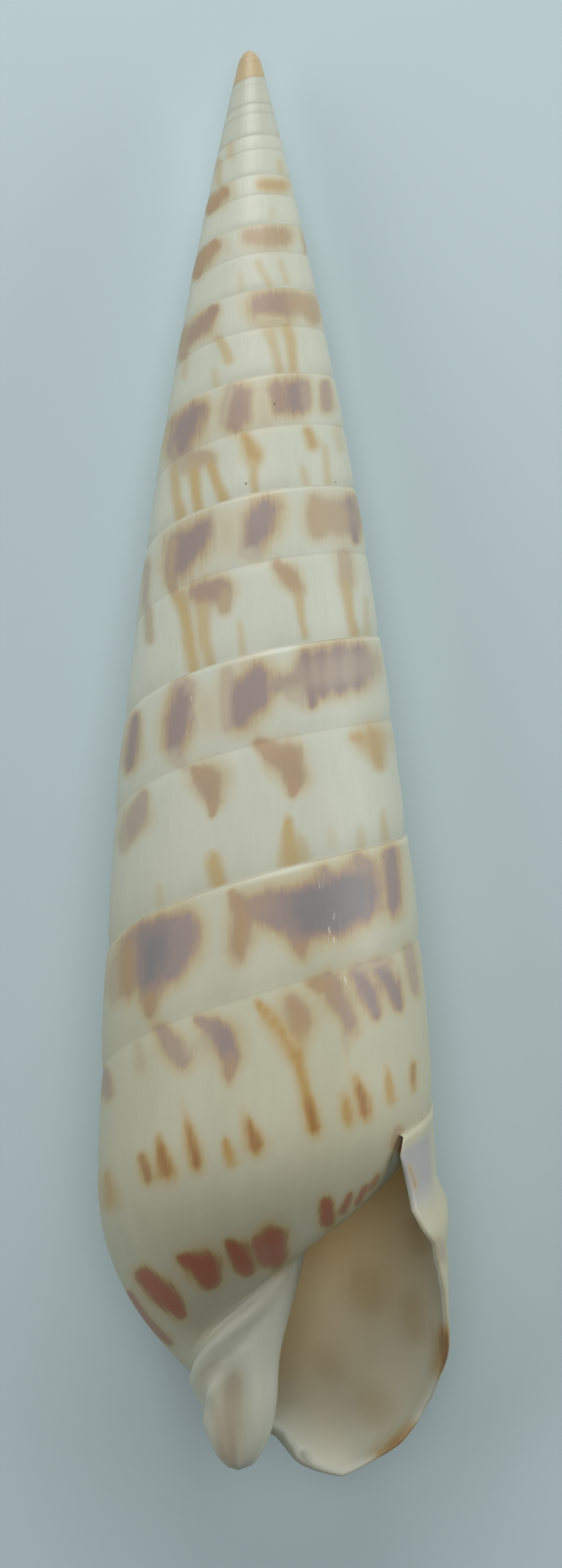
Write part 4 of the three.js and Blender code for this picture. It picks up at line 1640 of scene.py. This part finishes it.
class ShellPaint(Graph):
    """Writes the shell's material from its finish and the net's attributes."""

    def __init__(self, finish: ShellFinish) -> None:
        """Gathers what the colours depend on.

        Args:
            finish: The colours and their sizes.
        """
        super().__init__("shell_finish")
        self.finish = finish
        self.turn, self.drop, self.groove = self.parts("place")
        self.depth, self.tint, self.strength = self.parts("mark")
        self.inside, self.deep, self.glinting = self.parts("zone")
        self.cloud = self.noise(self.solid, finish.clouds)
        along = self.vector(self.turn, self.times(self.drop, finish.streak_stretch))
        self.streak = self.noise(along, finish.streaks)
        self.thread = self.noise(along, finish.threads)

    def ground(self) -> Socket:
        """The shell's own colour: creamy above, more beige on the last whorls, worn towards the point.

        Returns:
            The colour.
        """
        finish, turn, drop = self.finish, self.turn, self.drop
        patches = self.ease(self.noise(self.solid, finish.patches), *finish.patch_span)
        grown = self.plus(turn, self.times(drop, 1 / finish.drop_per_turn))
        aged = self.plus(patches, self.ease(grown, *finish.age_span))
        bruise = self.times(
            self.ease(turn, *finish.bruise_turns),
            self.ease(drop, *finish.bruise_top),
            self.ease(drop, *finish.bruise_foot),
        )
        colour = self.blend(aged, finish.cream, finish.beige)
        for share, over in (
            (self.ease(drop, *finish.spout_span), finish.cream),
            (bruise, finish.bruise),
            (self.ease(turn, *finish.worn_turns), finish.worn),
            (self.ease(turn, *finish.tip_turns), finish.tip),
        ):
            colour = self.blend(share, colour, over)
        shades = self.ease(self.streak, *finish.streak_shade), self.ease(self.thread, *finish.thread_shade)
        return self.shaded(colour, self.times(*shades))

    def pigment(self) -> tuple[Socket, Socket]:
        """The markings.

        Returns:
            How well a mark covers, and its colour, which is golden at its edge and its own in its middle.
        """
        finish = self.finish
        ragged = self.plus(
            self.sway(self.cloud, finish.mark_clouds),
            self.sway(self.streak, finish.mark_streaks),
            self.sway(self.thread, finish.mark_threads),
        )
        soaked = self.plus(self.depth, ragged)
        level = self.ease(soaked, *finish.level_span)
        cool = self.math("MINIMUM", level, self.math("MAXIMUM", self.tint, 0.0))
        warm = self.math("MAXIMUM", self.times(self.tint, -1.0), 0.0)
        shift = self.times(self.math("SUBTRACT", cool, self.times(warm, level, finish.warmth)), 0.5)
        cover = self.times(self.ease(soaked, *finish.cover_span), self.strength)
        return cover, self.ramp(self.math("ADD", shift, 0.5, clamp=True), finish.tints)

    def wear(self, colour: Socket) -> Socket:
        """Lays the pores, the painted highlights of fine scratches that catch the light, and the lines of
        the seam and the groove, which are partly their own darker colour and partly painted shade in these
        creases.

        Args:
            colour: What they are laid on.

        Returns:
            The colour.
        """
        finish = self.finish
        pores = self.ease(self.specks(finish.pore_scale), *finish.pore_span)
        along = self.vector(self.turn, self.times(self.drop, finish.glint_stretch))
        glint_hairs = self.ease(self.noise(along, finish.glint_hairs), *finish.glint_hair_span)
        glint_gaps = self.ease(self.noise(self.solid, finish.glint_gaps), *finish.glint_gap_span)
        # the seam and the groove are darkened: partly their own colour, partly painted shade in these
        # creases
        groove = self.ease(self.math("ABSOLUTE", self.groove), *finish.groove_span)
        lines = self.math("MAXIMUM", groove, self.ease(self.drop, *finish.seam_span))
        lines = self.math("MULTIPLY", lines, self.math("SUBTRACT", 1.0, self.inside), clamp=True)
        colour = self.blend(pores, colour, finish.pore)
        # painted highlight: white streaks where fine scratches catch the light
        colour = self.blend(self.times(glint_hairs, glint_gaps, self.glinting, finish.glint_cover), colour, finish.glint_white)
        return self.blend(self.times(lines, finish.line_cover), colour, finish.line)

    def lined(self, colour: Socket, cover: Socket, pigment: Socket) -> Socket:
        """Lays the tube's lining, with its stains and darker patches, over what is inside. The lining is
        partly its own warm colour and partly painted glow: deeper in it grows brighter and more golden,
        standing in for light that shines through the thin wall.

        Args:
            colour: The outside's colour.
            cover: How well the marks cover.
            pigment: The marks' colour.

        Returns:
            The colour.
        """
        finish = self.finish
        colours = finish.cream, finish.ivory, finish.tan, finish.umber
        behind = self.plus(self.deep, self.sway(self.cloud, finish.lining_clouds))
        # painted glow: the lining grows brighter and more golden deeper behind the lip
        lining = self.ramp(behind, tuple(zip(finish.lining_stops, colours)))
        lining = self.blend(self.times(cover, finish.lining_cover), lining, pigment)
        return self.blend(self.ease(self.inside, *finish.lining_span), colour, lining)

    def write(self) -> bpy.types.Material:
        """Puts the material together.

        Returns:
            The material.
        """
        finish = self.finish
        cover, pigment = self.pigment()
        colour = self.blend(self.times(cover, finish.mark_cover), self.ground(), pigment)
        colour = self.lined(self.wear(colour), cover, pigment)
        grain = self.times(self.noise(self.solid, finish.grain), finish.grain_height)
        inputs = (
            ("Strength", finish.bump_strength),
            ("Distance", finish.bump_metres),
            ("Height", self.plus(self.streak, grain)),
        )
        return self.surface(
            Base_Color=colour,
            Roughness=self.ease(self.cloud, *finish.roughness),
            IOR=finish.index,
            Normal=self.node("Bump", *inputs).outputs[0],
        )


@dataclass(frozen=True)
class TableFinish:
    """A plain pale sheet, with the faintest clouds in it."""

    colour: Colour = paint(194, 212, 216)
    roughness: float = 0.85
    clouds: Noise = Noise(30, 4, 0.6)
    shade: Span = (0.3, 0.7, 0.985, 1.0)

    def material(self) -> bpy.types.Material:
        """Writes the material.

        Returns:
            The material.
        """
        graph = Graph("table_finish")
        shade = graph.ease(graph.noise(graph.solid, self.clouds), *self.shade)
        return graph.surface(Base_Color=graph.shaded(self.colour, shade), Roughness=self.roughness)


@dataclass
class Table:
    """The pale floor that the shell lies on."""

    finish: TableFinish = TableFinish()
    half: float = 1.2

    def build(self) -> None:
        """Makes the floor."""
        mesh = bpy.data.meshes.new("floor")
        net = bmesh.new()
        bmesh.ops.create_grid(net, x_segments=1, y_segments=1, size=self.half)
        net.to_mesh(mesh)
        net.free()
        floor = bpy.data.objects.new("floor", mesh)
        bpy.context.scene.collection.objects.link(floor)
        mesh.materials.append(self.finish.material())


@dataclass(frozen=True)
class Lamp:
    """One soft square light that points at a place."""

    name: str
    place: tuple[float, float, float]
    target: tuple[float, float, float]
    size: float
    power: float

    def build(self) -> None:
        """Hangs the light."""
        data = bpy.data.lights.new(self.name, "AREA")
        data.shape = "SQUARE"
        data.size = self.size
        data.energy = self.power
        lamp = bpy.data.objects.new(self.name, data)
        lamp.location = self.place
        towards = Vector(self.target) - Vector(self.place)
        lamp.rotation_euler = towards.to_track_quat("-Z", "Y").to_euler()
        bpy.context.scene.collection.objects.link(lamp)


@dataclass
class Studio:
    """A soft light from beyond the point, a weaker one overhead, and a low one on each side."""

    lamps: tuple[Lamp, ...] = (
        Lamp("window", (0.0, 0.24, 0.12), (0.0, 0.0, 0.0), 0.16, 0.45),
        Lamp("overhead", (0.005, -0.005, 0.2), (0.005, -0.005, 0.0), 0.1, 0.09),
        Lamp("left", (-0.15, 0.02, 0.12), (0.0, 0.0, 0.0), 0.14, 0.11),
        Lamp("right", (0.2, 0.035, 0.06), (0.0, 0.0, 0.0), 0.14, 0.2),
    )
    sky: Colour = (1.0, 1.0, 1.0, 1.0)
    sky_strength: float = 0.05

    def build(self) -> None:
        """Hangs the lights and paints the sky."""
        for lamp in self.lamps:
            lamp.build()
            LOG.info("light %s", lamp.name)
        world = bpy.data.worlds.new("studio")
        world.use_nodes = True
        back = world.node_tree.nodes["Background"]
        back.inputs["Color"].default_value = self.sky
        back.inputs["Strength"].default_value = self.sky_strength
        bpy.context.scene.world = world
        bpy.context.scene.view_settings.view_transform = "Standard"


def main() -> None:
    """Makes the shell, the floor, the lights and the camera."""
    logging.basicConfig(level=logging.INFO, format="%(name)s: %(message)s")
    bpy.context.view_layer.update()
    picture, resting = Picture(), Resting()
    markings = Markings(WHORL_STROKES, INNER_STROKES, GLINT_STROKES)
    shell = Shell(Form(), Weave(), picture, resting, markings, HiddenSide())
    piece = shell.build()
    piece.data.materials.append(ShellFinish().material())
    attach(piece, "root")
    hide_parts(NODE)
    LOG.info("%s: %d faces", piece.name, len(piece.data.polygons))
    Table().build()
    LOG.info("floor")
    Studio().build()
    picture.camera(resting, shell.offset)
    LOG.info("camera")


if __name__ == "__main__":
    main()
